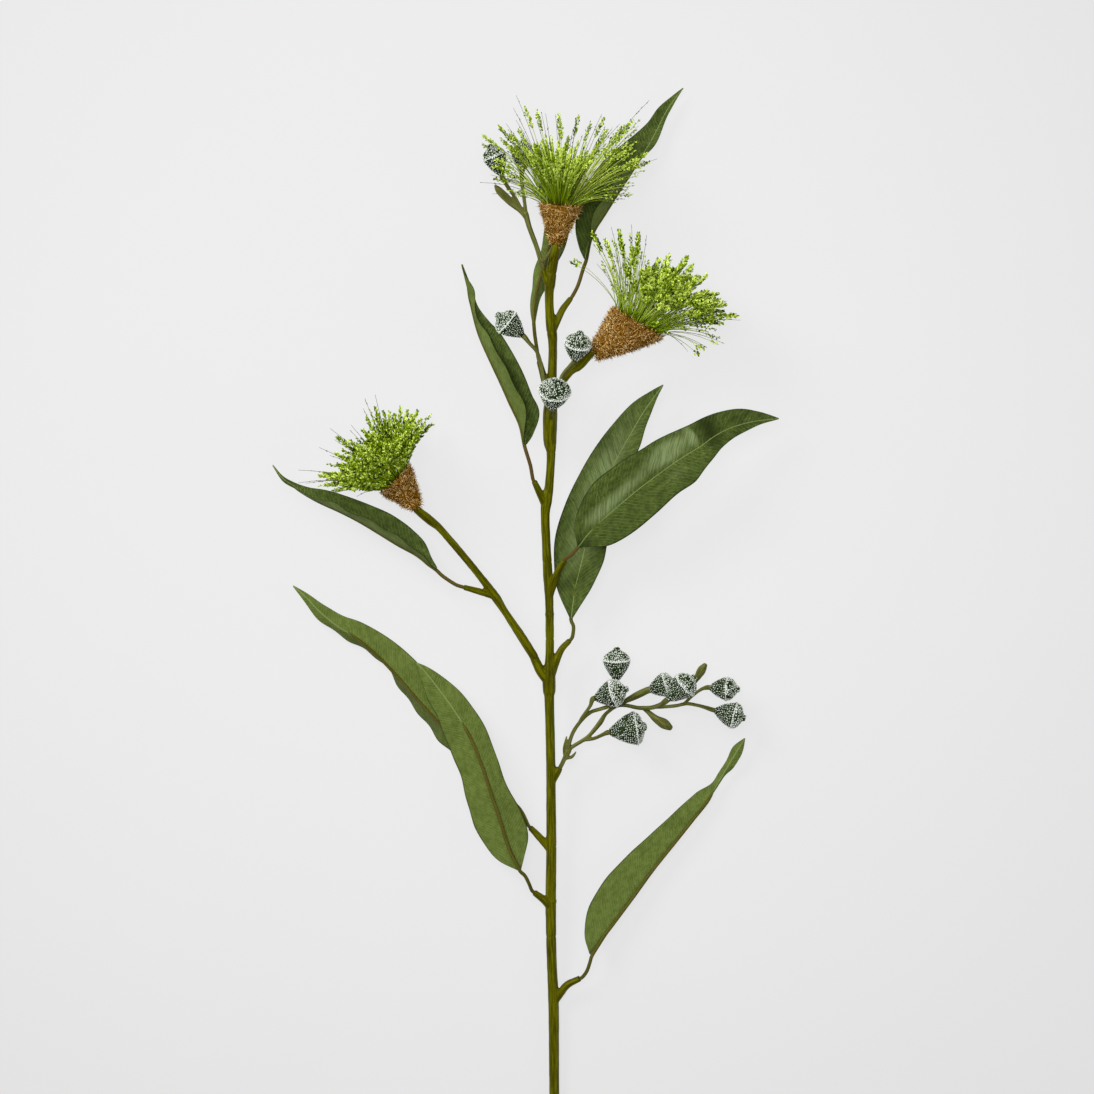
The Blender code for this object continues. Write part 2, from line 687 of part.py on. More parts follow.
def blade_section(left_width, right_width, roll, fold):
    """Places (rightward, up) and normals of a section, from the left margin to the right one."""
    found = {}
    for side, width, lift in ((-1, left_width, roll + fold), (1, right_width, fold - roll)):
        near = min(1.7, 0.4 * width)
        middle = 0.5 * (lift + roll) if side < 0 else 0.5 * (lift - roll)
        u, v = near * math.cos(middle), near * math.sin(middle)
        found[side * 1] = (side * u, v, side * 0.5 * (lift + middle))
        for step, share in ((2, 0.55), (3, 1.0)):
            run = share * width - (near if step == 2 else 0.55 * width)
            lean = lift - math.copysign(math.radians(4), fold) * (step - 2)
            u, v = u + run * math.cos(lean), v + run * math.sin(lean)
            found[side * step] = (side * u, v, side * lean)
    found[0] = (0.0, 0.0, -roll)
    order = [found[k] for k in range(-3, 4)]
    return [((u, v), (-math.sin(turn), math.cos(turn))) for u, v, turn in order]


def blade(name, stations, finish, per_span=2):
    """A thin closed leaf, its two faces split into triangles alike."""
    over, under = [], []
    for centre, left, up, left_width, right_width, roll, fold in blade_frames(stations, per_span):
        for (u, v), (nu, nv) in blade_section(left_width, right_width, roll, fold):
            place = centre - u * left + v * up
            normal = -nu * left + nv * up
            high = place + normal * BLADE_THICK / 2
            low = place - normal * BLADE_THICK / 2
            lift = max(0.0, -min(high[2], low[2]))
            over.append(high + np.array([0.0, 0.0, lift]))
            under.append(low + np.array([0.0, 0.0, lift]))
    columns = 7
    rows = len(over) // columns
    count = len(over)
    faces = []
    for i in range(rows - 1):
        for k in range(columns - 1):
            a = i * columns + k
            b, c, d = a + 1, a + columns + 1, a + columns
            faces += [(a, b, c), (a, c, d)]
            faces += [(count + a, count + c, count + b), (count + a, count + d, count + c)]
        for k in (0, columns - 1):
            a, d = i * columns + k, (i + 1) * columns + k
            side = [(a, d, count + d), (a, count + d, count + a)]
            faces += side if k == 0 else [face[::-1] for face in side]
    for k in range(columns - 1):
        for i in (0, rows - 1):
            a, b = i * columns + k, i * columns + k + 1
            side = [(a, count + b, b), (a, count + a, count + b)]
            faces += side if i == 0 else [face[::-1] for face in side]
    return mesh_object(name, over + under, faces, finish)


def rib(name, stalk, stations, finish):
    """Stalk and midrib of one leaf, lying a gap off the outside of the blade's fold."""
    frames = blade_frames(stations, 1)
    kept = max(3, int(round(RIB_REACH * len(frames))))
    rows = [tuple(p) for p in stalk]
    for i, (centre, left, up, _, _, roll, fold) in enumerate(frames[:kept]):
        radius = RIB_BASE + (RIB_TIP - RIB_BASE) * i / (kept - 1)
        outward = -math.copysign(1.0, fold) * (-math.sin(roll) * left + math.cos(roll) * up)
        place = centre + outward * (BLADE_THICK / 2 + GAP + radius + 0.12)
        rows.append((*place, radius))
    return tube(name, rows, 6, finish, per_span=1)


def cup_mouth(name):
    """Unit vector of the way a cup's mouth faces."""
    mouth = np.array(CUP_TURNS[name][1], float)
    return mouth / np.linalg.norm(mouth)


def cup(name, finish, sides=14):
    """A fuzzy cup: rings that widen and turn from its base to its mouth."""
    apex, middle, rim = CUPS[name]
    base, mouth, narrow = CUP_TURNS[name]
    start, end = np.array(apex, float), np.array(middle, float)
    shares = [(narrow, 0.0), (0.46, 0.27), (0.64, 0.51), (0.82, 0.76), (1.0, 1.0), (0.86, 1.0)]
    points, faces = [tuple(start)], []
    for radius, t in shares:
        centre = start + (end - start) * t
        ahead = np.array(base) * (1 - t) + np.array(mouth) * t
        ahead = ahead / np.linalg.norm(ahead)
        side = np.cross([0.0, 0.0, 1.0], ahead)
        side = side / np.linalg.norm(side)
        other = np.cross(ahead, side)
        for k in range(sides):
            turn = 2 * math.pi * k / sides
            points.append(tuple(centre + rim * radius * (math.cos(turn) * side + math.sin(turn) * other)))
    points.append(tuple(end))
    for k in range(sides):
        after = (k + 1) % sides
        faces.append((0, 1 + after, 1 + k))
        for i in range(len(shares) - 1):
            a, b = 1 + i * sides + k, 1 + i * sides + after
            faces.append((a, b, b + sides, a + sides))
        last = 1 + (len(shares) - 1) * sides
        faces.append((last + k, last + after, len(points) - 1))
    return mesh_object("cup_" + name, points, faces, finish)


def nut_profile(length, rim, share):
    """Outline of a gumnut: a cone up to the rim, a rounded cap and its point."""
    body = [(0.24, 0.0), (0.58, 0.33), (0.87, 0.7), (1.0, 1.0)]
    cap = [(0.96, 0.2), (0.8, 0.52), (0.5, 0.76), (0.16, 0.88)]
    profile = [(rim * r, length * share * h) for r, h in body]
    profile += [(rim * r, length * (share + (1 - share) * h)) for r, h in cap]
    return [(0.0, 0.0)] + profile + [(0.0, length)]


def head_strands(name, rng):
    """Strand paths of one head, spread evenly over its cap of directions."""
    middle, rim = np.array(CUPS[name][1], float), CUPS[name][2]
    toward, spread, shortest, longest = HEADS[name]
    axis = np.array(toward, float)
    axis = axis / np.linalg.norm(axis)
    mouth = cup_mouth(name)
    side = np.cross(axis, [0.0, 0.0, 1.0])
    side = side / np.linalg.norm(side)
    other = np.cross(axis, side)
    mouth_side = np.cross(mouth, [0.0, 0.0, 1.0])
    mouth_side = mouth_side / np.linalg.norm(mouth_side)
    mouth_other = np.cross(mouth, mouth_side)
    strands = []
    for i in range(STRANDS):
        share = (i + 0.5) / STRANDS
        lean = math.acos(1 - share * (1 - math.cos(math.radians(spread))))
        turn = i * 2.399963 + rng.uniform(-0.12, 0.12)
        aim = math.cos(lean) * axis + math.sin(lean) * (math.cos(turn) * side + math.sin(turn) * other)
        reach = rng.uniform(shortest, longest)
        root = middle + rim * 0.62 * math.sqrt(share) * (math.cos(turn) * mouth_side
                                                        + math.sin(turn) * mouth_other) + mouth * 1.2
        end = middle + aim * reach
        knee = root + mouth * reach * 0.16 + (end - root) * 0.36
        strands.append((root, knee, end))
    return strands


def bent(root, knee, end, steps):
    """Points on a strand's curve, held above the surface."""
    out = []
    for k in range(steps + 1):
        t = k / steps
        point = (1 - t) ** 2 * root + 2 * t * (1 - t) * knee + t * t * end
        point[2] = max(point[2], 0.9)
        out.append(point)
    return np.array(out)


def clear_of(path, obstacles):
    """True where every point of the path past its root keeps its distance from the obstacles."""
    free = path[2:]
    apart = np.linalg.norm(free[:, None, :] - obstacles[None, :, :3], axis=2)
    return bool((apart > obstacles[None, :, 3]).all())


def filament_head(name, obstacles, finish, rng):
    """Core dome with club-ended strands, fused into one body."""
    middle, rim = np.array(CUPS[name][1], float), CUPS[name][2]
    mouth = cup_mouth(name)
    seat = middle + mouth * GAP
    dome = [(rim * r, rim * h) for r, h in ((0, 0), (0.86, 0), (0.84, 0.3), (0.6, 0.72), (0, 0.95))]
    pieces = [turned("filaments_" + name, seat, seat + mouth, dome, 12, finish)]
    for root, knee, end in head_strands(name, rng):
        for turn in (0.0, 0.35, -0.35, 0.7, -0.7, 1.05, 1.5):
            lifted = end + np.array([0.0, 0.0, 1.0]) * abs(turn) * 26
            lifted = middle + (lifted - middle) * np.linalg.norm(end - middle) / np.linalg.norm(lifted - middle)
            path = bent(root + mouth * 1.5, knee, lifted, 10)
            if clear_of(path, obstacles):
                break
        else:
            continue
        rows = path[[0, 5, 7, 9, 10]]
        radii = [0.55, 0.5, 1.45, 1.2, 0.35]
        points, faces = tube_faces(rows, radii, 3)
        points = [(x, y, max(z, 0.0)) for x, y, z in points]
        pieces.append(mesh_object("strand", points, faces, finish))
    return fuse("filaments_" + name, pieces, finish)


def stem_height(y):
    return float(np.interp(y, [p[0] for p in STEM_RISE], [p[1] for p in STEM_RISE]))


def obstacles_of(obj, clearance):
    """Points spread over a mesh, each with the distance that a strand keeps from it."""
    place = obj.matrix_world
    corners = np.array([place @ vertex.co / MM for vertex in obj.data.vertices])
    centres = np.array([place @ face.center / MM for face in obj.data.polygons])
    middles = np.array([corners[list(edge.vertices)].mean(axis=0) for edge in obj.data.edges])
    points = np.vstack([corners, centres, middles])
    return np.hstack([points, np.full((len(points), 1), clearance)])


def seat_on_origin(objects):
    """Moves everything so that the bottom middle of the whole stands on the origin."""
    bpy.context.view_layer.update()
    corners = np.array([obj.matrix_world @ v.co for obj in objects for v in obj.data.vertices])
    low, high = corners.min(axis=0), corners.max(axis=0)
    shift = Vector((-(low[0] + high[0]) / 2, -(low[1] + high[1]) / 2, -low[2]))
    for obj in objects:
        obj.location += shift


def main():
    clear_scene()
    rng = random.Random(STRAND_SEED)
    stem_green = material("stem_green", (0.115, 0.125, 0.035), 0.5)
    rib_brown = material("rib_brown", (0.13, 0.075, 0.028), 0.5)
    leaf_green = material("leaf_green", (0.055, 0.085, 0.045), 0.8)
    cup_brown = material("cup_brown", (0.16, 0.10, 0.04), 0.95)
    filament_green = material("filament_green", (0.36, 0.42, 0.06), 0.6)
    nut_green = material("nut_green", (0.06, 0.075, 0.03), 0.6)

    stem_rows = seated([(x, y, stem_height(y), r) for x, y, r in STEM])
    pieces = [tube("main_stem", stem_rows, 12, stem_green, per_span=1)]
    pieces += [tube("socket", run, 8, stem_green, per_span=1) for run in STEM_SOCKETS.values()]
    solids = [fuse("main_stem", pieces, stem_green)]

    left_rows = seated(plugged(STEM_SOCKETS["branch_left"], BRANCH_LEFT))
    pieces = [tube("branch_left", left_rows, 8, stem_green, per_span=1)]
    pieces += [tube("socket", run, 8, stem_green, per_span=1) for run in BRANCH_LEFT_SOCKETS.values()]
    solids.append(fuse("branch_left", pieces, stem_green))
    right_rows = seated(plugged(STEM_SOCKETS["branch_right"], BRANCH_RIGHT))
    solids.append(tube("branch_right", right_rows, 8, stem_green, per_span=1))

    sockets = {**STEM_SOCKETS, **BRANCH_LEFT_SOCKETS}
    for name, stations in BLADES.items():
        solids.append(blade("blade_" + name, stations, leaf_green, per_span=2 if len(stations) < 11 else 1))
        solids.append(rib("rib_" + name, plugged(sockets[name], STALKS[name]), stations, rib_brown))

    for name, runs in SPRAYS.items():
        first = plugged(sockets["spray_" + name], runs[0])
        pieces = [tube("run", seated(run), 6, stem_green, per_span=1) for run in [first] + runs[1:]]
        solids.append(fuse("twigs_" + name, pieces, stem_green))
    for name, (start, end, rim, share) in NUTS.items():
        profile = nut_profile((Vector(end) - Vector(start)).length, rim, share)
        solids.append(turned("gumnut_" + name, start, end, profile, NUT_SIDES, nut_green))
    solids += [cup(name, cup_brown) for name in CUPS]

    bpy.context.view_layer.update()
    heads = []
    for name, seat in CUPS.items():
        near = [obstacles_of(obj, STRAND_CLEARANCE) for obj in solids if obj.name != "cup_" + name]
        near = np.vstack(near)
        near = near[np.linalg.norm(near[:, :3] - np.array(seat[1]), axis=1) < 95]
        heads.append(filament_head(name, near, filament_green, rng))
    solids += heads
    seat_on_origin(solids)


main()
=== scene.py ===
"""Looks of an artificial flowering gum stem that lies on a pale surface.

Every shape starts from the same measurements as the solids: millimetres, X to the
right, Y towards the flowering end, Z up from the surface.
"""

import logging  # noqa: E402
import math  # noqa: E402
import random  # noqa: E402
from dataclasses import dataclass, field  # noqa: E402
from enum import Enum  # noqa: E402

import bpy  # noqa: E402
import numpy as np  # noqa: E402
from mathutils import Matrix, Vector, noise  # noqa: E402


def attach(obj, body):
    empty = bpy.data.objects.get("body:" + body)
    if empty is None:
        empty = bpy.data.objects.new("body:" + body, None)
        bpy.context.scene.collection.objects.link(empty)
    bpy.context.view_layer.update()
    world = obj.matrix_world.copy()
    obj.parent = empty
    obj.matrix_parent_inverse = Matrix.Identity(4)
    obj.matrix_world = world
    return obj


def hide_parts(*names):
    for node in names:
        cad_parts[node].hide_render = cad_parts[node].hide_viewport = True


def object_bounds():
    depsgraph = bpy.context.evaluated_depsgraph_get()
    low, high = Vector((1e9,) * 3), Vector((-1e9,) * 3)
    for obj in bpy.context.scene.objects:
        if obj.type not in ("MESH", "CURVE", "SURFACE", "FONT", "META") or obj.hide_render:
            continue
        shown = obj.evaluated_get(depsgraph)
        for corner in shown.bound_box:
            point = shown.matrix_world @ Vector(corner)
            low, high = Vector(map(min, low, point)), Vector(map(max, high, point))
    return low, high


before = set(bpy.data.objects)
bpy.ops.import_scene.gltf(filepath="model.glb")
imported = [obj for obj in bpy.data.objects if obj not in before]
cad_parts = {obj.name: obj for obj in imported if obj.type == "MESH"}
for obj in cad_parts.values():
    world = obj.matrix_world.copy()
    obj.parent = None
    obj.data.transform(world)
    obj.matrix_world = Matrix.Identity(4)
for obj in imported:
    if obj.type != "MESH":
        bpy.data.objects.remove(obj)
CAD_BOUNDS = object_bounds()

LOG = logging.getLogger("gum_stem")
MM = 0.001
SHIFT = np.array([13.903, 78.497, 0.219])  # the working origin, in the frame's millimetres
GAP = 0.3  # clear space between pieces that meet
BLADE_THICK = 0.7
RIB_BASE = 1.2  # radius of a leaf's rib at its base
RIB_TIP = 0.5
RIB_REACH = 0.86  # share of the blade that its rib runs along
SEAT_REACH = 4.5  # how near the end of a run is to the nut or cup that it holds
ROUNDING = ((0.2, 0.92), (0.38, 0.7), (0.5, 0.32))  # rings past a free end: distance and size in radii
FULL_TURN = 2 * math.pi
RANDOM_TURN = 6.28  # top of the range that random turns are drawn from
RIPPLE_TURN = 6.283
GOLDEN_TURN = 2.399963
GOLDEN_SHARE = 0.618034
UP = np.array([0.0, 0.0, 1.0])
NO_AXIS = (0.3, 0.2, 0.93)  # a direction that no cup, nut or dome points in
TINY = 1e-6

Row = tuple[float, ...]

# height of the main stem's centre line: (Y, Z)
STEM_RISE = [
    (-457, 3.2), (-392, 3.7), (-300, 8.0), (-200, 14.5), (-100, 21.5), (0, 29.0), (100, 37.0), (194, 45.0),
]

# main stem centre line with its sleeves and swellings: (X, Y, radius)
STEM = [
    (6.05, -456.9, 3.42), (5.35, -391.9, 3.37), (4.75, -355.6, 3.32), (4.35, -300.9, 3.52),
    (3.05, -268.4, 3.32), (2.45, -232.7, 3.52), (2.85, -197.0, 3.42), (2.65, -164.5, 3.22),
    (2.45, -138.5, 3.12), (1.55, -100.8, 3.22), (1.45, -94.2, 4.12), (1.35, -85.2, 4.32), (1.65, -73.5, 3.02),
    (1.85, -60.5, 2.82), (1.45, -34.5, 2.82), (0.55, -18.2, 3.22), (-0.45, 1.3, 2.92), (-1.15, 20.8, 3.02),
    (-0.15, 30.6, 3.62), (1.45, 40.3, 2.92), (2.65, 59.8, 2.92), (1.95, 68.9, 4.32), (2.05, 85.8, 4.72),
    (2.75, 98.8, 3.82), (3.45, 115.0, 3.02), (3.75, 131.3, 2.92), (2.95, 141.1, 3.52), (1.65, 152.8, 2.92),
    (1.45, 164.5, 3.02), (1.95, 169.7, 3.52), (3.05, 178.8, 3.42), (4.35, 187.2, 3.52), (5.55, 193.7, 3.32),
]

# sockets moulded on the main stem, each a run of (X, Y, Z, radius)
STEM_SOCKETS = {
    "lower_right": [
        (4.7, -297.6, 8.2, 2.4), (8.7, -291.8, 9.6, 2.6), (13.2, -285.9, 11.2, 2.5),
        (21.6, -281.4, 13.5, 2.0),
    ],
    "lower_left_front": [(2.9, -237.2, 12.1, 2.2), (-1.3, -230.8, 14.7, 2.6), (-8.5, -224.9, 17.5, 2.0)],
    "lower_left_back": [(2.9, -198.9, 14.6, 2.2), (-3.2, -191.1, 14.8, 2.5), (-11.1, -182.7, 15.0, 1.9)],
    "middle_right_back": [
        (2.3, -87.1, 22.5, 2.3), (5.2, -76.7, 22.8, 2.5), (9.1, -67.0, 23.4, 2.3), (15.0, -60.5, 24.0, 1.8),
    ],
    "branch_left": [(1.6, -89.0, 22.3, 2.6), (-3.9, -81.2, 24.0, 3.2), (-8.5, -71.5, 25.5, 2.9)],
    "middle_right_front": [
        (1.3, -33.8, 26.5, 2.3), (3.9, -24.7, 29.0, 2.5), (7.2, -15.6, 32.5, 2.3), (11.7, -8.5, 36.0, 1.9),
    ],
    "upper_left": [(0.0, 24.1, 30.9, 2.3), (-3.9, 33.1, 33.0, 2.5), (-8.5, 42.9, 35.0, 1.9)],
    "branch_right": [(2.6, 89.0, 36.1, 2.6), (6.5, 100.1, 38.5, 2.9), (10.4, 107.2, 39.5, 2.7)],
    "top_back": [
        (2.0, 93.6, 36.5, 2.3), (-0.7, 104.7, 36.0, 2.4), (-3.9, 116.4, 35.6, 2.1), (-5.2, 120.9, 35.8, 1.8),
    ],
    "top_right": [
        (3.2, 137.2, 40.2, 2.2), (6.5, 146.2, 39.8, 2.4), (10.4, 154.1, 39.2, 2.2), (15.6, 161.2, 38.5, 1.8),
    ],
    "spray_lower": [(2.9, -154.1, 17.7, 2.0), (5.9, -148.8, 18.6, 2.2), (8.5, -143.7, 19.7, 1.9)],
    "spray_middle": [(2.2, 81.2, 35.5, 2.0), (2.0, 85.2, 41.0, 1.9), (1.7, 87.8, 42.0, 1.8)],
    "spray_upper": [(2.0, 165.8, 42.6, 2.0), (-0.7, 172.9, 44.2, 2.1), (-2.6, 179.4, 45.0, 1.8)],
}

# the two flowering side branches, (X, Y, Z, radius)
BRANCH_LEFT = [
    (-17.4, -57.0, 27.0, 2.9), (-27.1, -42.3, 28.0, 2.4), (-33.5, -32.4, 28.6, 3.0),
    (-43.2, -19.3, 29.5, 2.4), (-56.1, -3.5, 31.0, 2.4), (-69.1, 11.6, 32.6, 2.4), (-76.0, 17.4, 33.3, 3.0),
    (-81.9, 22.3, 34.2, 2.7),
]
BRANCH_LEFT_SOCKETS = {
    "left": [(-34.0, -32.1, 28.5, 2.2), (-41.4, -29.6, 29.3, 2.3), (-54.0, -26.1, 31.0, 1.8)],
}
BRANCH_RIGHT = [
    (15.6, 113.8, 41.0, 2.6), (21.4, 117.7, 42.6, 3.0), (29.4, 124.3, 44.6, 2.9),
]

# stalk of each leaf between its socket and its blade: (X, Y, Z, radius)
STALKS = {
    "lower_right": [(26.1, -276.3, 15.8, 1.2), (28.0, -270.5, 18.2, 1.2)],
    "lower_left_front": [(-11.7, -219.1, 21.5, 1.2), (-14.3, -213.8, 24.0, 1.2)],
    "lower_left_back": [(-14.6, -176.2, 15.4, 1.2), (-17.2, -171.6, 16.2, 1.2)],
    "middle_right_back": [(17.0, -55.9, 24.3, 1.2), (17.2, -51.4, 23.9, 1.2)],
    "middle_right_front": [(15.6, -5.2, 38.0, 1.2), (18.2, -2.3, 38.9, 1.2)],
    "upper_left": [(-10.7, 52.6, 37.3, 1.2), (-13.3, 61.1, 38.7, 1.2)],
    "left": [(-59.8, -24.1, 31.6, 1.2), (-67.6, -18.9, 31.9, 1.2)],
    "top_right": [(20.2, 169.7, 36.2, 1.2), (23.4, 180.1, 34.3, 1.2)],
    "top_back": [(-6.5, 128.1, 37.6, 1.2), (-7.8, 136.5, 39.0, 1.2)],
}

# blades by stations along the midrib:
# (X, Y, Z, left half-width, right half-width, roll, fold), the angles in degrees;
# a positive fold lifts both margins, and the rib runs on the outside of the fold
BLADES = {
    "lower_right": [
        (28.2, -265.5, 17.2, 0.7, 0.7, 40.0, -40.0), (33.2, -257.9, 16.2, 11.1, 9.1, 60.0, -62.0),
        (42.1, -246.0, 15.2, 18.9, 15.6, 68.0, -68.0), (55.6, -228.1, 13.7, 21.4, 18.2, 70.0, -70.0),
        (68.8, -210.1, 12.2, 18.2, 16.9, 70.0, -70.0), (81.9, -193.9, 11.2, 15.0, 14.3, 70.0, -70.0),
        (94.9, -177.7, 10.2, 11.7, 11.7, 66.0, -68.0), (104.5, -165.9, 9.2, 9.1, 9.8, 50.0, -65.0),
        (111.9, -153.8, 9.2, 4.5, 5.2, 10.0, -74.0), (118.9, -141.8, 10.2, 3.6, 3.9, -5.0, -35.0),
        (124.5, -132.6, 11.2, 3.9, 3.6, -5.0, -25.0), (129.1, -124.9, 12.2, 0.4, 0.4, 0.0, -20.0),
    ],
    "lower_left_front": [
        (-17.5, -210.5, 24.0, 0.7, 0.7, 0.0, -10.0), (-24.6, -196.3, 25.0, 11.7, 13.7, 3.0, -14.0),
        (-30.4, -177.9, 25.0, 17.6, 15.6, 3.0, -18.0), (-36.0, -161.4, 25.0, 16.9, 12.5, 3.0, -18.0),
        (-42.4, -141.9, 24.0, 16.2, 11.1, 0.0, -18.0), (-49.6, -124.4, 23.0, 16.2, 12.1, 0.0, -18.0),
        (-59.2, -108.1, 21.5, 13.0, 11.4, 0.0, -16.0), (-70.0, -93.2, 20.0, 9.8, 8.6, 0.0, -12.0),
        (-78.9, -81.9, 18.5, 4.5, 4.1, 0.0, -8.0), (-85.2, -75.4, 18.0, 0.4, 0.4, 0.0, 0.0),
    ],
    "lower_left_back": [
        (-19.5, -168.3, 15.0, 0.7, 0.7, -10.0, -10.0), (-34.6, -154.2, 14.0, 9.8, 4.5, -20.0, -24.0),
        (-51.1, -137.3, 13.5, 13.7, 8.0, -28.0, -32.0), (-68.6, -116.5, 13.0, 15.6, 12.5, -30.0, -34.0),
        (-83.4, -100.3, 13.0, 15.6, 15.6, -33.0, -36.0), (-96.4, -85.3, 13.0, 14.3, 15.6, -38.0, -42.0),
        (-109.3, -71.7, 13.0, 11.7, 13.8, -38.0, -44.0), (-123.5, -59.7, 13.0, 9.1, 10.8, -32.0, -38.0),
        (-136.2, -51.9, 12.0, 5.9, 8.0, -15.0, -28.0), (-148.0, -42.6, 11.0, 4.5, 5.5, -5.0, -20.0),
        (-157.5, -32.7, 10.0, 2.6, 2.6, 0.0, -10.0), (-165.8, -25.4, 10.0, 0.4, 0.4, 0.0, 0.0),
    ],
    "middle_right_back": [
        (15.6, -46.8, 25, 0.7, 0.7, 0, 10), (18.2, -27.9, 23, 12.3, 9.8, -10, 14),
        (22.1, -11.7, 21.5, 18.2, 14.3, -12, 16), (26.0, 4.5, 20.5, 20.8, 15.6, -14, 17),
        (31.2, 24.1, 20, 19.5, 16.9, -14, 17), (37.1, 40.3, 20, 17.6, 16.9, -14, 17),
        (44.2, 55.2, 20.5, 16.2, 13.0, -14, 17), (53.3, 71.5, 22, 13.7, 9.8, -14, 16),
        (62.4, 87.1, 24, 9.8, 5.2, -12, 14), (70.2, 98.2, 26, 4.5, 2.0, -8, 10),
        (75.4, 105.3, 27, 0.4, 0.4, 0, 0),
    ],
    "middle_right_front": [
        (20.2, 0.0, 41, 0.7, 0.7, 0, 4), (27.9, 9.8, 42, 13.0, 13.7, 4, 8),
        (41.0, 22.1, 43.5, 21.4, 18.9, 5, 10), (57.2, 35.8, 45.5, 22.1, 19.5, 5, 10),
        (73.5, 48.1, 47.5, 20.2, 17.6, 5, 10), (86.5, 57.2, 49.5, 18.2, 17.6, 4, 9),
        (98.2, 64.4, 51, 16.2, 12.2, 4, 8), (107.2, 70.9, 49.5, 14.3, 9.1, 2, 6),
        (116.4, 76.0, 46, 12.3, 7.2, 0, 6), (126.8, 79.6, 41.5, 10.1, 5.2, 0, 6),
        (137.8, 81.9, 37, 5.9, 2.6, 0, 4), (150.2, 83.2, 33, 0.4, 0.4, 0, 0),
    ],
    "upper_left": [
        (-13.7, 66.3, 40.0, 0.7, 0.7, 30.0, 30.0), (-14.9, 72.6, 39.5, 5.2, 7.0, 50.0, 56.0),
        (-18.0, 82.2, 39.0, 11.1, 14.4, 60.0, 64.0), (-22.8, 92.0, 38.5, 13.0, 14.9, 62.0, 66.0),
        (-29.3, 106.3, 38.0, 13.0, 15.6, 62.0, 66.0), (-35.8, 119.9, 38.0, 11.7, 15.0, 62.0, 66.0),
        (-42.4, 134.3, 38.0, 9.1, 13.0, 62.0, 66.0), (-45.7, 144.0, 38.5, 5.9, 8.8, 64.0, 68.0),
        (-48.4, 155.0, 39.5, 3.9, 4.2, 72.0, 72.0), (-51.1, 166.1, 41.0, 5.2, 3.3, 70.0, 78.0),
        (-53.2, 174.7, 42.0, 2.6, 1.8, 60.0, 70.0), (-54.9, 182.7, 43.0, 0.4, 0.4, 30.0, 30.0),
    ],
    "left": [
        (-71.5, -13.9, 33.0, 0.7, 0.7, 30.0, 30.0), (-77.4, -9.7, 32.5, 4.5, 4.2, 50.0, 58.0),
        (-85.5, -3.9, 32.0, 9.1, 10.2, 54.0, 60.0), (-95.2, 1.2, 32.0, 11.1, 13.4, 55.0, 60.0),
        (-108.2, 9.0, 32.0, 11.7, 14.4, 55.0, 60.0), (-121.2, 16.7, 32.0, 11.7, 12.6, 54.0, 59.0),
        (-134.3, 23.3, 32.0, 10.4, 10.9, 54.0, 59.0), (-147.3, 29.1, 32.5, 7.8, 9.0, 52.0, 57.0),
        (-157.0, 34.4, 33.0, 3.9, 5.2, 48.0, 53.0), (-165.5, 40.2, 33.0, 2.0, 2.4, 40.0, 45.0),
        (-172.2, 45.3, 32.5, 1.0, 1.3, 20.0, 25.0), (-177.8, 53.0, 32.0, 0.4, 0.4, 0.0, 0.0),
    ],
    "top_right": [
        (24.7, 186.6, 33.0, 0.7, 0.7, -25, 25), (26.4, 194.8, 30.0, 6.5, 3.9, -45, 52),
        (30.0, 205.7, 25.5, 13.0, 9.1, -54, 60), (36.5, 216.1, 21.0, 18.9, 12.3, -58, 64),
        (44.2, 228.4, 16.5, 20.2, 13.0, -58, 64), (52.1, 240.7, 13.0, 18.9, 11.7, -55, 62),
        (59.9, 252.5, 11.0, 15.6, 5.6, -40, 50), (66.3, 262.2, 10.0, 12.3, 4.5, -18, 34),
        (72.2, 273.3, 9.0, 7.8, 3.2, -8, 22), (77.4, 283.7, 9.0, 5.9, 2.4, -3, 14),
        (83.5, 292.9, 9.5, 2.6, 1.2, 0, 8), (89.0, 299.7, 10.0, 0.4, 0.2, 0, 0),
    ],
    "top_back": [
        (-8.5, 143.7, 38, 0.7, 0.7, 0, -20), (-8.5, 152.8, 36, 2.6, 2.6, 0, -45),
        (-7.2, 163.8, 33.5, 4.5, 5.2, 5, -52), (-4.5, 174.8, 30.5, 5.6, 8.5, 5, -50),
        (-0.7, 187.8, 26, 5.2, 10.4, 0, -42), (3.2, 202.2, 20.5, 6.0, 11.1, 0, -30),
        (7.2, 217.8, 15, 7.5, 10.4, 0, -22), (10.4, 232.1, 11, 7.8, 8.5, 0, -16),
        (12.3, 243.8, 9, 5.2, 5.2, 0, -10), (13.7, 254.8, 8, 0.4, 0.4, 0, 0),
    ],
}

# flower cups: apex (X, Y, Z), middle of the rim (X, Y, Z), rim radius
CUPS = {
    "top": ((5.9, 195.0, 45.2), (8.5, 220.0, 46.2), 12.5),
    "right": ((30.2, 126.0, 44.8), (58.5, 144.4, 48.0), 18.0),
    "left": ((-84.4, 25.2, 34.6), (-97.6, 43.7, 36.0), 12.4),
}

# the way each cup's base faces and the way its mouth faces, and its base radius as a share of the rim's
CUP_TURNS = {
    "top": ((0.1, 0.99, 0.04), (0.08, 0.995, 0.04), 0.24),
    "right": ((0.96, 0.28, 0.08), (0.5, 0.865, 0.05), 0.3),
    "left": ((-0.5, 0.86, 0.07), (-0.7, 0.71, 0.05), 0.27),
}

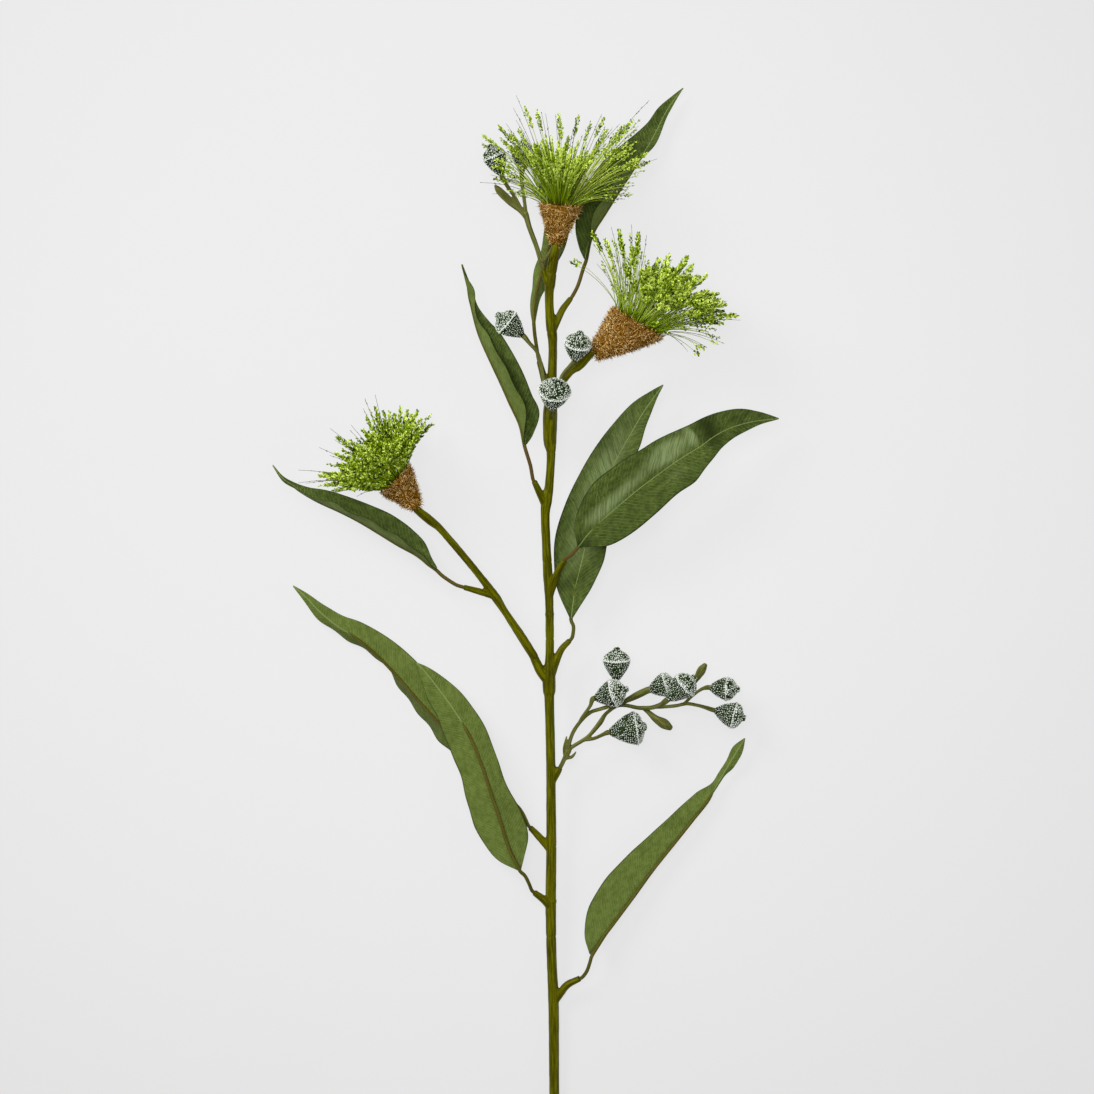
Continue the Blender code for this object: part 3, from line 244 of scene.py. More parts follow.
# gumnuts: middle of the base, tip, rim radius, share of the length below the rim
NUTS = {
    "u1": ((-29.2, 239.6, 51.8), (-37.2, 259.4, 54), 7.6, 0.6),
    "u2": ((-16.2, 241.8, 52), (-15.0, 262.9, 54.5), 7.6, 0.6),
    "a": ((-15.8, 136.6, 46), (-32.9, 150.6, 49), 8.6, 0.58),
    "b": ((17.6, 120.6, 49.4), (21.6, 138.8, 59.4), 8.8, 0.54),
    "c": ((2.9, 89.7, 47.8), (6.2, 107.3, 63.3), 10.4, 0.61),
    "g1": ((45.1, -86.6, 27), (45.3, -64.9, 30), 8.8, 0.6),
    "g2": ((31.2, -98.2, 31), (52.6, -91.6, 37.0), 9.0, 0.56),
    "g3": ((40.8, -120.4, 25), (64.8, -116.6, 23.6), 10.6, 0.69),
    "g4": ((66.3, -92.9, 25), (84.3, -87.1, 26.5), 8.2, 0.6),
    "g5": ((77.9, -98.9, 36.6), (95.8, -83.4, 43.0), 8.5, 0.63),
    "g6": ((106.0, -91.6, 19.5), (125.6, -92.6, 23), 7.6, 0.57),
    "g7": ((109.3, -106.3, 23), (129.1, -111.6, 25), 8.6, 0.62),
}

# sprays that carry the gumnuts: runs of (X, Y, Z, radius), fused into one piece each
SPRAYS = {
    "upper": [
        [(-6.5, 193.1, 46.5, 1.6), (-11.1, 205.4, 48.4, 1.7), (-13.7, 214.5, 49.4, 1.9)],
        [(-11.7, 208.7, 48.8, 1.2), (-20.8, 225.6, 50.2, 1.2), (-25.4, 232.2, 51, 1.3),
         (-28.8, 237.9, 51.5, 1.6)],
        [(-13.0, 211.2, 49, 1.2), (-14.6, 223.0, 50.4, 1.2), (-15.9, 232.1, 51.2, 1.3),
         (-16.2, 240.0, 51.7, 1.6)],
        [(-12.3, 210.0, 48.9, 1.1), (-16.9, 216.5, 49.4, 1.6), (-24.1, 223.0, 49.8, 2.5),
         (-30.6, 229.5, 50, 2.4), (-33.5, 233.0, 50.1, 0.8)],
        [(-4.2, 185.2, 45.5, 1.2), (-2.0, 185.2, 48.5, 1.3), (1.3, 189.2, 52, 0.9), (3.2, 193.1, 53, 0.5)],
    ],
    "middle": [
        [(1.6, 91.0, 43.5, 1.6), (1.6, 94.2, 44.2, 2.0)],
        [(1.6, 92.3, 43.8, 1.5), (2.2, 89.8, 45, 1.7), (2.5, 89.2, 46.6, 2.2)],
        [(1.6, 93.0, 43.8, 1.3), (-1.0, 102.0, 43.8, 1.3), (-3.2, 113.8, 44.0, 1.3), (-6.2, 125.5, 44.8, 1.3),
         (-11.1, 131.3, 45.4, 1.3), (-16.0, 136.2, 45.8, 1.7)],
        [(1.6, 93.0, 43.8, 1.3), (6.5, 100.8, 45.3, 1.3), (9.8, 110.5, 48.0, 1.3), (14.6, 116.2, 49.0, 1.5),
         (17.0, 119.0, 49.0, 1.8)],
    ],
    "lower": [
        [(11.4, -137.8, 21.2, 1.5), (14.0, -132.6, 22.8, 1.9)],
        [(12.3, -135.8, 21.8, 1.4), (16.2, -122.2, 24.2, 1.3), (21.4, -113.8, 25.4, 1.3),
         (27.9, -107.6, 26, 1.3), (34.5, -105.3, 26, 1.3), (42.2, -103.0, 26.2, 1.4),
         (50.7, -100.1, 26.0, 1.7), (58.8, -96.2, 25.2, 2.4), (65.0, -93.5, 25.0, 2.3)],
        [(20.2, -115.7, 25.2, 1.2), (23.4, -109.9, 26.4, 1.2), (27.9, -103.4, 29, 1.2),
         (31.0, -100.9, 30.5, 1.7)],
        [(12.3, -135.8, 21.8, 1.4), (15.6, -130.7, 22.3, 1.3), (22.8, -126.1, 22, 1.3),
         (27.9, -122.2, 21.8, 1.3), (34.5, -114.4, 21.3, 1.7), (38.4, -108.5, 20.8, 1.3),
         (44.9, -103.7, 20.4, 1.3), (50.7, -103.0, 20.6, 1.3), (59.5, -104.6, 22.2, 1.4),
         (67.5, -104.4, 26.5, 1.5), (73.4, -102.4, 31.8, 1.6), (76.8, -99.9, 35.6, 2.0)],
        [(61.0, -104.6, 22.9, 1.3), (72.0, -104.2, 21.6, 1.2), (83.2, -103.4, 21.2, 1.2),
         (91.0, -102.0, 20.6, 1.2), (99.5, -103.4, 21.6, 1.2), (107.2, -104.9, 22.6, 1.6)],
        [(89.0, -102.3, 20.8, 1.1), (94.2, -97.5, 16.4, 1.1), (100.1, -93.0, 16.6, 1.1),
         (105.0, -91.7, 18.8, 1.6)],
        [(94.2, -97.5, 16.4, 1.1), (96.2, -89.0, 15.4, 1.2), (98.4, -84.4, 16.0, 2.3),
         (100.8, -80.2, 16.6, 2.9), (103.2, -76.6, 17.2, 1.5)],
        [(23.4, -125.8, 22, 1.1), (30.6, -124.5, 23, 1.2), (35.8, -122.2, 24, 1.3),
         (39.5, -121.0, 24.7, 1.7)],
        [(40.3, -104.0, 26, 1.1), (42.9, -97.5, 24, 1.1), (43.9, -90.4, 24.8, 1.2), (44.2, -85.3, 26.6, 1.6)],
        [(61.6, -104.0, 22.0, 1.1), (66.6, -108.0, 22.0, 1.7), (70.6, -111.6, 22.6, 2.4),
         (76.2, -115.0, 23.4, 3.4), (80.6, -117.8, 24, 1.8)],
        [(11.7, -137.2, 21.3, 1.0), (11.4, -130.7, 22.8, 1.2), (12.7, -123.5, 23.6, 0.6)],
        [(12.0, -137.8, 21.2, 0.9), (16.2, -136.5, 22.2, 1.1), (18.9, -133.2, 22.8, 0.5)],
    ],
}


class Face(Enum):
    """Material slots of a leaf blade."""

    UPPER = 0
    UNDER = 1


class Grain(Enum):
    """How the grains sit on a filament."""

    FINGER = 0
    EAR = 1
    BEADED = 2
    BARE = 3


def unit(v: np.ndarray) -> np.ndarray:
    """The vector at length one."""
    return v / np.linalg.norm(v)


def units(rows: np.ndarray, least: float = 0.0) -> np.ndarray:
    """Each row at length one, where a row shorter than the least stays short."""
    return rows / np.maximum(np.linalg.norm(rows, axis=1), least)[:, None]


def distances(path: np.ndarray) -> np.ndarray:
    """The distance run so far at each point of a path."""
    return np.concatenate([[0.0], np.cumsum(np.linalg.norm(np.diff(path, axis=0), axis=1))])


def beside(axis: np.ndarray) -> tuple[np.ndarray, np.ndarray]:
    """Two unit vectors at right angles to an axis and to each other."""
    side = unit(np.cross(axis, NO_AXIS))
    return side, np.cross(axis, side)


def ring_faces(rings: int, sides: int) -> list[np.ndarray]:
    """The wall between rings of points and the caps at its ends, as corner numbers."""
    index = np.arange(rings * sides).reshape(rings, sides)
    after = np.roll(index, -1, axis=1)
    wall = np.stack([index[:-1], after[:-1], after[1:], index[1:]], axis=2).reshape(-1, 4)
    return [wall, index[:1, ::-1], index[-1:]]


def smooth(points: list[Row], per_span: int) -> np.ndarray:
    """Rows on a Catmull-Rom curve through all columns of the points.

    Args:
        points: The rows that the curve runs through.
        per_span: How many steps each span is cut into.

    Returns:
        One row for each step, the last point included.
    """
    rows = np.array(points, float)
    padded = np.vstack([2 * rows[0] - rows[1], rows, 2 * rows[-1] - rows[-2]])
    out = []
    for i in range(1, len(padded) - 2):
        a, b, c, d = padded[i - 1:i + 3]
        for k in range(per_span):
            t = k / per_span
            out.append(0.5 * (2 * b + (c - a) * t + (2 * a - 5 * b + 4 * c - d) * t * t
                              + (3 * b - a - 3 * c + d) * t ** 3))
    out.append(rows[-1])
    return np.array(out)


def path_frames(path: np.ndarray) -> tuple[np.ndarray, np.ndarray, np.ndarray, np.ndarray]:
    """Ahead, across and up vectors along a path, turning as little as they can.

    Args:
        path: Points of the path, one row each.

    Returns:
        The three unit vectors for each point, and the distance run so far.
    """
    ahead = units(np.gradient(path, axis=0))
    first = UP if abs(ahead[0][2]) < 0.9 else np.array([1.0, 0.0, 0.0])
    across = np.zeros_like(path)
    side = np.cross(ahead[0], first)
    for i in range(len(path)):
        side = unit(side - ahead[i] * side.dot(ahead[i]))
        across[i] = side
    return ahead, across, np.cross(ahead, across), distances(path)


class MeshBuilder:
    """Collects faces of one piece, with a tint and lie coordinates for its finish."""

    def __init__(self) -> None:
        """Starts empty."""
        self.points: list[np.ndarray] = []
        self.lies: list[np.ndarray] = []
        self.tints: list[np.ndarray] = []
        self.faces: list[np.ndarray] = []
        self.slots: list[np.ndarray] = []
        self.soft: list[np.ndarray] = []
        self.count = 0

    def add(self, points: np.ndarray, faces: list[np.ndarray], lie: np.ndarray | None = None,
            tint: float | np.ndarray = 0.5, slot: int = 0, soft: bool = True) -> None:
        """Adds points with their faces.

        Args:
            points: Places in working millimetres.
            faces: Arrays of corner numbers, one array for each number of corners.
            lie: Across, up and along coordinates of each point, in millimetres.
            tint: Shade of the points, from 0 to 1.
            slot: Material slot of these faces.
            soft: Whether they are shaded smooth.
        """
        points = np.asarray(points, float)
        self.points.append(points)
        self.lies.append(points if lie is None else np.asarray(lie, float))
        self.tints.append(np.full(len(points), tint) if np.isscalar(tint) else np.asarray(tint))
        self.span([np.asarray(group, int) + self.count for group in faces], slot, soft)
        self.count += len(points)

    def span(self, faces: list[np.ndarray], slot: int, soft: bool = True) -> None:
        """Adds faces between points that are there already.

        Args:
            faces: Arrays of corner numbers.
            slot: Material slot of these faces.
            soft: Whether they are shaded smooth.
        """
        for group in faces:
            self.faces.append(group)
            self.slots.append(np.full(len(group), slot))
            self.soft.append(np.full(len(group), soft))

    def tube(self, path: np.ndarray, radii: np.ndarray, sides: int, tint: float | np.ndarray = 0.5,
             slot: int = 0) -> None:
        """Adds a closed tapered tube.

        Args:
            path: Points of its centre line.
            radii: Radius at each point.
            sides: Number of sides.
            tint: Shade, one number or one for each ring.
            slot: Material slot.
        """
        _, across, up, run = path_frames(path)
        turn = FULL_TURN * np.arange(sides) / sides
        ring = radii[:, None, None] * (np.cos(turn)[None, :, None] * across[:, None, :]
                                       + np.sin(turn)[None, :, None] * up[:, None, :])
        points = (path[:, None, :] + ring).reshape(-1, 3)
        lie = np.stack([np.outer(radii, np.cos(turn)), np.outer(radii, np.sin(turn)),
                        np.repeat(run[:, None], sides, axis=1)], axis=2).reshape(-1, 3)
        shade = tint if np.isscalar(tint) else np.repeat(np.asarray(tint), sides)
        self.add(points, ring_faces(len(path), sides), lie, shade, slot)

    def lumps(self, centres: np.ndarray, axes: np.ndarray, tints: np.ndarray, slot: int = 0) -> None:
        """Adds small rounded grains.

        Args:
            centres: Middle of each grain.
            axes: Three half-axes of each grain, as vectors.
            tints: Shade of each grain.
            slot: Material slot.
        """
        shapes = GRAIN_POINTS[np.arange(len(centres)) * 5 % len(GRAIN_POINTS)]
        points = centres[:, None, :] + np.einsum("npk,nkj->npj", shapes, axes)
        corners = shapes.shape[1]
        index = GRAIN_FACES[None, :, :] + (np.arange(len(centres)) * corners)[:, None, None]
        self.add(points.reshape(-1, 3), [index.reshape(-1, 3)], None,
                 np.repeat(tints, corners), slot, soft=False)

    def build(self, name: str, finishes: list[bpy.types.Material]) -> bpy.types.Object:
        """Makes the object from all that was added.

        Args:
            name: Name of the piece.
            finishes: Materials in the order of their slots.

        Returns:
            The new object, in the frame's metres.
        """
        mesh = bpy.data.meshes.new(name)
        points = (np.vstack(self.points) + SHIFT) * MM
        mesh.vertices.add(len(points))
        mesh.vertices.foreach_set("co", points.ravel())
        sizes = np.concatenate([np.full(len(f), f.shape[1]) for f in self.faces])
        corners = np.concatenate([f.ravel() for f in self.faces])
        mesh.loops.add(len(corners))
        mesh.loops.foreach_set("vertex_index", corners)
        mesh.polygons.add(len(sizes))
        mesh.polygons.foreach_set("loop_start", np.concatenate([[0], np.cumsum(sizes)[:-1]]))
        mesh.polygons.foreach_set("material_index", np.concatenate(self.slots))
        mesh.polygons.foreach_set("use_smooth", np.concatenate(self.soft))
        mesh.update(calc_edges=True)
        store(mesh, "lie", np.vstack(self.lies))
        store(mesh, "tint", np.concatenate(self.tints))
        for finish in finishes:
            mesh.materials.append(finish)
        made = bpy.data.objects.new(name, mesh)
        bpy.context.scene.collection.objects.link(made)
        return made


def store(mesh: bpy.types.Mesh, name: str, values: np.ndarray) -> None:
    """Keeps a number or a vector for each point of a mesh.

    Args:
        mesh: The mesh that takes it.
        name: Name that the finishes read it by.
        values: One number or one vector for each point.
    """
    vector = values.ndim == 2
    layer = mesh.attributes.new(name, "FLOAT_VECTOR" if vector else "FLOAT", "POINT")
    layer.data.foreach_set("vector" if vector else "value", values.astype(float).ravel())


def grain_shapes() -> tuple[np.ndarray, np.ndarray]:
    """The points of several uneven grains, and the twenty faces that they share."""
    g = (1 + 5 ** 0.5) / 2
    points = np.array([(-1, g, 0), (1, g, 0), (-1, -g, 0), (1, -g, 0), (0, -1, g), (0, 1, g),
                       (0, -1, -g), (0, 1, -g), (g, 0, -1), (g, 0, 1), (-g, 0, -1), (-g, 0, 1)], float)
    faces = np.array([(0, 11, 5), (0, 5, 1), (0, 1, 7), (0, 7, 10), (0, 10, 11), (1, 5, 9),
                      (5, 11, 4), (11, 10, 2), (10, 7, 6), (7, 1, 8), (3, 9, 4), (3, 4, 2),
                      (3, 2, 6), (3, 6, 8), (3, 8, 9), (4, 9, 5), (2, 4, 11), (6, 2, 10),
                      (8, 6, 7), (9, 8, 1)])
    rng = np.random.default_rng(4)
    shapes = rng.uniform(0.68, 1.22, (7, 12, 1)) * points / math.hypot(1, g)
    return shapes + rng.uniform(-0.12, 0.12, (7, 12, 3)), faces


GRAIN_POINTS, GRAIN_FACES = grain_shapes()


class Nodes:
    """A material's node tree, with short calls for the few nodes that the finishes use."""

    def __init__(self, name: str) -> None:
        """Starts a material with only its shader and output.

        Args:
            name: Name of the material.
        """
        self.material = bpy.data.materials.new(name)
        self.material.use_nodes = True
        self.tree = self.material.node_tree
        self.shader = self.tree.nodes["Principled BSDF"]

    def node(self, kind: str, **settings: object) -> bpy.types.Node:
        """A new node with these settings."""
        made = self.tree.nodes.new(kind)
        for key, value in settings.items():
            setattr(made, key, value)
        return made

    def plug(self, socket: bpy.types.NodeSocket, value: object) -> None:
        """Links a socket to another, or sets its value."""
        if isinstance(value, bpy.types.NodeSocket):
            self.tree.links.new(value, socket)
        elif isinstance(value, tuple) and len(value) == 3 and socket.type == "RGBA":
            socket.default_value = (*value, 1.0)
        else:
            socket.default_value = value

    def attribute(self, name: str, output: str) -> bpy.types.NodeSocket:
        """A stored value of the mesh."""
        return self.node("ShaderNodeAttribute", attribute_name=name).outputs[output]

    def math(self, operation: str, *values: object) -> bpy.types.NodeSocket:
        """The result of a sum on one to three values."""
        made = self.node("ShaderNodeMath", operation=operation)
        for socket, value in zip(made.inputs, values):
            self.plug(socket, value)
        return made.outputs[0]

    def plus(self, first: object, second: object) -> bpy.types.NodeSocket:
        """The sum of two values."""
        return self.math("ADD", first, second)

    def minus(self, first: object, second: object) -> bpy.types.NodeSocket:
        """The first value less the second."""
        return self.math("SUBTRACT", first, second)

    def times(self, first: object, second: object) -> bpy.types.NodeSocket:
        """The product of two values."""
        return self.math("MULTIPLY", first, second)

    def split(self, vector: bpy.types.NodeSocket) -> list[bpy.types.NodeSocket]:
        """The three parts of a vector."""
        made = self.node("ShaderNodeSeparateXYZ")
        self.plug(made.inputs[0], vector)
        return list(made.outputs)

    def join(self, x: object, y: object, z: object) -> bpy.types.NodeSocket:
        """A vector from three values."""
        made = self.node("ShaderNodeCombineXYZ")
        for socket, value in zip(made.inputs, (x, y, z)):
            self.plug(socket, value)
        return made.outputs[0]

    def stretch(self, vector: bpy.types.NodeSocket, scale: Row) -> bpy.types.NodeSocket:
        """The vector times a scale for each axis."""
        made = self.node("ShaderNodeMapping")
        self.plug(made.inputs["Vector"], vector)
        made.inputs["Scale"].default_value = scale
        return made.outputs[0]

    def noise(self, vector: bpy.types.NodeSocket, scale: float, detail: float = 3.0,
              rough: float = 0.55) -> bpy.types.NodeSocket:
        """Soft noise from 0 to 1."""
        made = self.node("ShaderNodeTexNoise")
        self.plug(made.inputs["Vector"], vector)
        made.inputs["Scale"].default_value = scale
        made.inputs["Detail"].default_value = detail
        made.inputs["Roughness"].default_value = rough
        return made.outputs["Fac"]

    def ramp(self, value: bpy.types.NodeSocket, low: float, high: float, to_low: float = 0.0,
             to_high: float = 1.0) -> bpy.types.NodeSocket:
        """The value eased from one range into another."""
        made = self.node("ShaderNodeMapRange", interpolation_type="SMOOTHSTEP")
        for socket, number in zip(made.inputs, (value, low, high, to_low, to_high)):
            self.plug(socket, number)
        return made.outputs[0]

    def mix(self, share: object, first: object, second: object) -> bpy.types.NodeSocket:
        """A colour between two colours."""
        made = self.node("ShaderNodeMix", data_type="RGBA")
        self.plug(made.inputs["Factor"], share)
        self.plug(made.inputs[6], first)
        self.plug(made.inputs[7], second)
        return made.outputs[2]

    def relief(self, height: bpy.types.NodeSocket, depth: float) -> None:
        """Bumps the shader's surface by a height in millimetres times the depth."""
        made = self.node("ShaderNodeBump")
        made.inputs["Distance"].default_value = MM * depth
        made.inputs["Strength"].default_value = 1.0
        self.plug(made.inputs["Height"], height)
        self.plug(self.shader.inputs["Normal"], made.outputs[0])

    def set(self, **values: object) -> None:
        """Sets or links the shader's own sockets, named with underscores for spaces."""
        for key, value in values.items():
            self.plug(self.shader.inputs[key.replace("_", " ")], value)


@dataclass(frozen=True)
class LeafFinish:
    """Printed and pressed leaf fabric, one side of it."""

    name: str
    deep: Row
    fresh: Row
    fleck: Row
    vein: Row
    midrib: Row
    # colour of the painted sheen
    sheen: Row
    gloss: float
    fleck_share: float = 0.5
    vein_share: float = 0.35
    vein_spacing: float = 2.9
    vein_slope: float = 0.62
    midrib_width: float = 0.42

    def material(self) -> bpy.types.Material:
        """The material with side veins, flecks, weave and margin, and painted sheen and painted shade from
        the tint.
        """
        n = Nodes(self.name)
        across, along, edge = n.split(n.attribute("lie", "Vector"))
        tint = n.attribute("tint", "Fac")
        lie = n.join(across, along, 0.0)
        side = n.math("ABSOLUTE", across)
        sway = n.times(n.minus(n.noise(lie, 0.1, 2.0), 0.5), 4.0)
        bow = n.times(n.math("POWER", side, 1.35), 0.14)
        place = n.plus(n.minus(along, n.times(side, self.vein_slope)), n.minus(sway, bow))
        broken = n.ramp(n.noise(n.stretch(n.join(side, place, 0.0), (0.12, 0.5, 1.0)), 1.0, 2.0), 0.32, 0.56)
        vein = n.times(n.ramp(n.math("PINGPONG", place, self.vein_spacing / 2), 0.0, 0.36, 1.0, 0.0), broken)
        fine_place = n.plus(place, n.times(sway, 0.6))
        fine = n.ramp(n.math("PINGPONG", fine_place, self.vein_spacing / 8), 0.0, 0.25, 1.0, 0.0)
        threads = n.noise(n.stretch(n.join(across, place, 0.0), (0.5, 1.5, 1.0)), 1.0, 4.0, 0.72)
        patches = n.ramp(n.noise(lie, 0.075, 3.0), 0.44, 0.6)
        flecks = n.times(n.ramp(threads, 0.53, 0.62), patches)
        mottle = n.ramp(n.noise(n.stretch(lie, (1.0, 0.7, 1.0)), 0.32, 4.0, 0.62), 0.34, 0.66)
        colour = n.mix(mottle, self.deep, self.fresh)
        colour = n.mix(n.times(n.ramp(n.noise(lie, 0.035, 2.0), 0.42, 0.7), 0.4), colour,
                       tuple(0.6 * c for c in self.deep))
        colour = n.mix(n.times(flecks, self.fleck_share), colour, self.fleck)
        colour = n.mix(n.times(vein, self.vein_share), colour, self.vein)
        colour = n.mix(n.times(fine, self.vein_share * 0.16), colour, self.vein)
        # painted sheen: where the tint is over a half, the colour runs towards the sheen colour in streaks
        # along the veins
        drawn = n.noise(n.stretch(n.join(across, place, 0.0), (0.07, 0.75, 1.0)), 1.0, 3.0, 0.6)
        painted_sheen_share = n.times(n.ramp(tint, 0.5, 1.0), n.plus(n.ramp(drawn, 0.36, 0.62, 0.0, 0.65), 0.35))
        colour = n.mix(painted_sheen_share, colour, self.sheen)
        # painted shade: where the tint is under a half, the colour darkens towards a third of the deep colour
        colour = n.mix(n.ramp(tint, 0.0, 0.5, 0.75, 0.0), colour, tuple(0.35 * c for c in self.deep))
        middle = n.ramp(side, self.midrib_width * 0.5, self.midrib_width, 1.0, 0.0)
        colour = n.mix(n.times(middle, 0.9), colour, self.midrib)
        margin = n.ramp(edge, 0.94, 0.99)
        colour = n.mix(n.times(margin, 0.65), colour, tuple(0.3 * c for c in self.deep))
        weave = n.noise(lie, 3.2, 2.0)
        height = n.plus(n.times(vein, -0.35), n.times(weave, 0.35))
        n.relief(n.minus(height, n.times(fine, 0.08)), 0.2)
        n.set(Base_Color=colour, Roughness=n.plus(n.times(weave, 0.2), 1 - self.gloss),
              Specular_IOR_Level=0.2, Specular_Tint=(0.85, 1.0, 0.45))
        return n.material


@dataclass(frozen=True)
class PlasticFinish:
    """Moulded plastic with lengthwise streaks."""

    name: str
    base: Row
    streak: Row
    stain: Row
    rough: float = 0.48
    streak_share: float = 0.85
    speckle: float = 0.25

    def material(self) -> bpy.types.Material:
        """The material with streaks that follow the moulding."""
        n = Nodes(self.name)
        lie = n.attribute("lie", "Vector")
        tint = n.attribute("tint", "Fac")
        streaks = n.noise(n.stretch(lie, (1.0, 1.0, 0.06)), 0.9, 4.0, 0.65)
        blotch = n.noise(n.stretch(lie, (1.0, 1.0, 0.35)), 0.12, 3.0)
        specks = n.ramp(n.noise(lie, 1.6, 2.0, 0.7), 0.62, 0.74)
        colour = n.mix(n.times(n.ramp(streaks, 0.4, 0.6), self.streak_share), self.base, self.streak)
        colour = n.mix(n.times(n.ramp(blotch, 0.45, 0.7), 0.5), colour, self.stain)
        # the tint darkens towards the stain colour: real seam stains and brown stalks, and painted shade at
        # the socket ends
        colour = n.mix(n.times(n.ramp(tint, 0.5, 1.0), 0.85), colour, self.stain)
        colour = n.mix(n.times(specks, self.speckle), colour,
                       tuple(min(1.0, 2.2 * c + 0.02) for c in self.streak))
        n.relief(n.plus(streaks, n.times(specks, 0.5)), 0.22)
        n.set(Base_Color=colour, Roughness=n.plus(n.times(streaks, 0.22), self.rough - 0.1),
              Specular_IOR_Level=0.2, Specular_Tint=(1.0, 0.96, 0.25))
        return n.material


@dataclass(frozen=True)
class TintedFinish:
    """Small parts whose shade is stored grain by grain."""

    name: str
    dark: Row
    middle: Row
    light: Row
    rough: float = 0.55
    shine: Row = (1.0, 1.0, 1.0)

    def material(self) -> bpy.types.Material:
        """The material that runs from its dark to its light colour with the tint."""
        n = Nodes(self.name)
        tint = n.attribute("tint", "Fac")
        lie = n.attribute("lie", "Vector")
        grain = n.plus(tint, n.times(n.minus(n.noise(lie, 1.1), 0.5), 0.4))
        colour = n.mix(n.ramp(grain, 0.0, 0.5), self.dark, self.middle)
        colour = n.mix(n.ramp(grain, 0.5, 1.0), colour, self.light)
        n.relief(n.noise(lie, 2.2, 2.0), 0.12)
        n.set(Base_Color=colour, Roughness=self.rough, Specular_IOR_Level=0.2, Specular_Tint=self.shine)
        return n.material


@dataclass(frozen=True)
class NutFinish:
    """Dark green plastic of the gumnuts under their frosting."""

    name: str
    dark: Row
    pale: Row

    def material(self) -> bpy.types.Material:
        """The material with blotches and a bloom of fine specks."""
        n = Nodes(self.name)
        lie = n.attribute("lie", "Vector")
        blotch = n.ramp(n.noise(lie, 0.45, 3.0), 0.4, 0.65)
        specks = n.ramp(n.noise(lie, 1.9, 2.0, 0.7), 0.6, 0.68)
        colour = n.mix(blotch, self.dark, self.pale)
        colour = n.mix(n.times(specks, 0.25), colour, (0.3, 0.35, 0.28))
        n.relief(n.plus(blotch, specks), 0.2)
        n.set(Base_Color=colour, Roughness=0.6, Specular_IOR_Level=0.15)
        return n.material


@dataclass(frozen=True)
class Finishes:
    """Every finish of the stem, made once."""

    stem: bpy.types.Material
    twig: bpy.types.Material
    stalk: bpy.types.Material
    upper: bpy.types.Material
    under: bpy.types.Material
    fuzz: bpy.types.Material
    filament: bpy.types.Material
    hair: bpy.types.Material
    nut: bpy.types.Material
    frost: bpy.types.Material

    @classmethod
    def make(cls) -> "Finishes":
        """Makes the materials."""
        return cls(
            stem=PlasticFinish("olive_stem_plastic", (0.043, 0.043, 0.0), (0.116, 0.117, 0.0),
                               (0.02, 0.015, 0.0), rough=0.4, speckle=0.14).material(),
            twig=PlasticFinish("grey_green_twig_plastic", (0.066, 0.069, 0.013), (0.146, 0.154, 0.042),
                               (0.04, 0.04, 0.008), rough=0.5).material(),
            stalk=PlasticFinish("brown_stalk_plastic", (0.055, 0.053, 0.005), (0.088, 0.086, 0.015),
                                (0.09, 0.05, 0.015), rough=0.5, speckle=0.1).material(),
            # the sixth colour of each leaf finish is its painted sheen
            upper=LeafFinish("leaf_upper_fabric", (0.029, 0.046, 0.007), (0.062, 0.09, 0.016),
                             (0.2, 0.28, 0.045), (0.14, 0.185, 0.06), (0.18, 0.23, 0.07),
                             (0.2, 0.255, 0.105), gloss=0.42, fleck_share=0.6, vein_share=0.62,
                             midrib_width=0.34).material(),
            under=LeafFinish("leaf_underside_fabric", (0.07, 0.1, 0.016), (0.106, 0.142, 0.029),
                             (0.18, 0.23, 0.06), (0.165, 0.21, 0.06), (0.17, 0.22, 0.07),
                             (0.22, 0.28, 0.1), gloss=0.28, fleck_share=0.3, vein_share=0.6,
                             vein_spacing=2.2, midrib_width=0.45).material(),
            fuzz=TintedFinish("brown_cup_fuzz", (0.066, 0.023, 0.001), (0.375, 0.176, 0.014),
                              (1.0, 0.73, 0.33), rough=0.85, shine=(1.0, 0.75, 0.3)).material(),
            filament=TintedFinish("green_filament_plastic", (0.02, 0.043, 0.0), (0.208, 0.318, 0.001),
                                  (0.7, 0.85, 0.15), rough=0.5, shine=(0.9, 1.0, 0.3)).material(),
            hair=TintedFinish("grey_filament_hair", (0.04, 0.045, 0.015), (0.085, 0.09, 0.04),
                              (0.23, 0.24, 0.12), rough=0.6).material(),
            nut=NutFinish("dark_gumnut_plastic", (0.007, 0.015, 0.003), (0.03, 0.052, 0.013)).material(),
            frost=TintedFinish("white_gumnut_frosting", (0.15, 0.19, 0.12), (0.45, 0.51, 0.4),
                               (0.73, 0.75, 0.71), rough=0.4).material(),
        )


def beyond(run: list[Row], more: float) -> Row:
    """The point this far past the end of a run, in line with its last stretch."""
    last, before = np.array(run[-1][:3]), np.array(run[-2][:3])
    return tuple(last + unit(last - before) * more)


def plugged(socket: list[Row], run: list[Row]) -> list[Row]:
    """The run with a short straight start that reaches down into its socket.

    Args:
        socket: Run of the socket.
        run: Run of the piece plugged into it.

    Returns:
        The longer run.
    """
    radius = run[0][3]
    start = [(*beyond(socket, -1.2), radius * 0.96), (*beyond(socket, GAP + 1.5), radius)]
    return start + [tuple(row) for row in run]


def seated(run: list[Row]) -> list[Row]:
    """The run, its end carried into the gumnut or cup that it holds."""
    end = np.array(run[-1][:3], float)
    seats = [(nut[0], nut[1]) for nut in NUTS.values()]
    seats += [(cup[0], np.add(cup[0], CUP_TURNS[name][0])) for name, cup in CUPS.items()]
    for start, toward in seats:
        base = np.array(start, float)
        if np.linalg.norm(base - end) > SEAT_REACH:
            continue
        axis = unit(np.array(toward, float) - base)
        radius = run[-1][3]
        return run[:-1] + [(*(base - axis * 1.9), radius), (*(base + axis * 0.4), radius)]
    return run


def stem_height(y: float) -> float:
    """Height of the main stem's centre line."""
    return float(np.interp(y, [p[0] for p in STEM_RISE], [p[1] for p in STEM_RISE]))


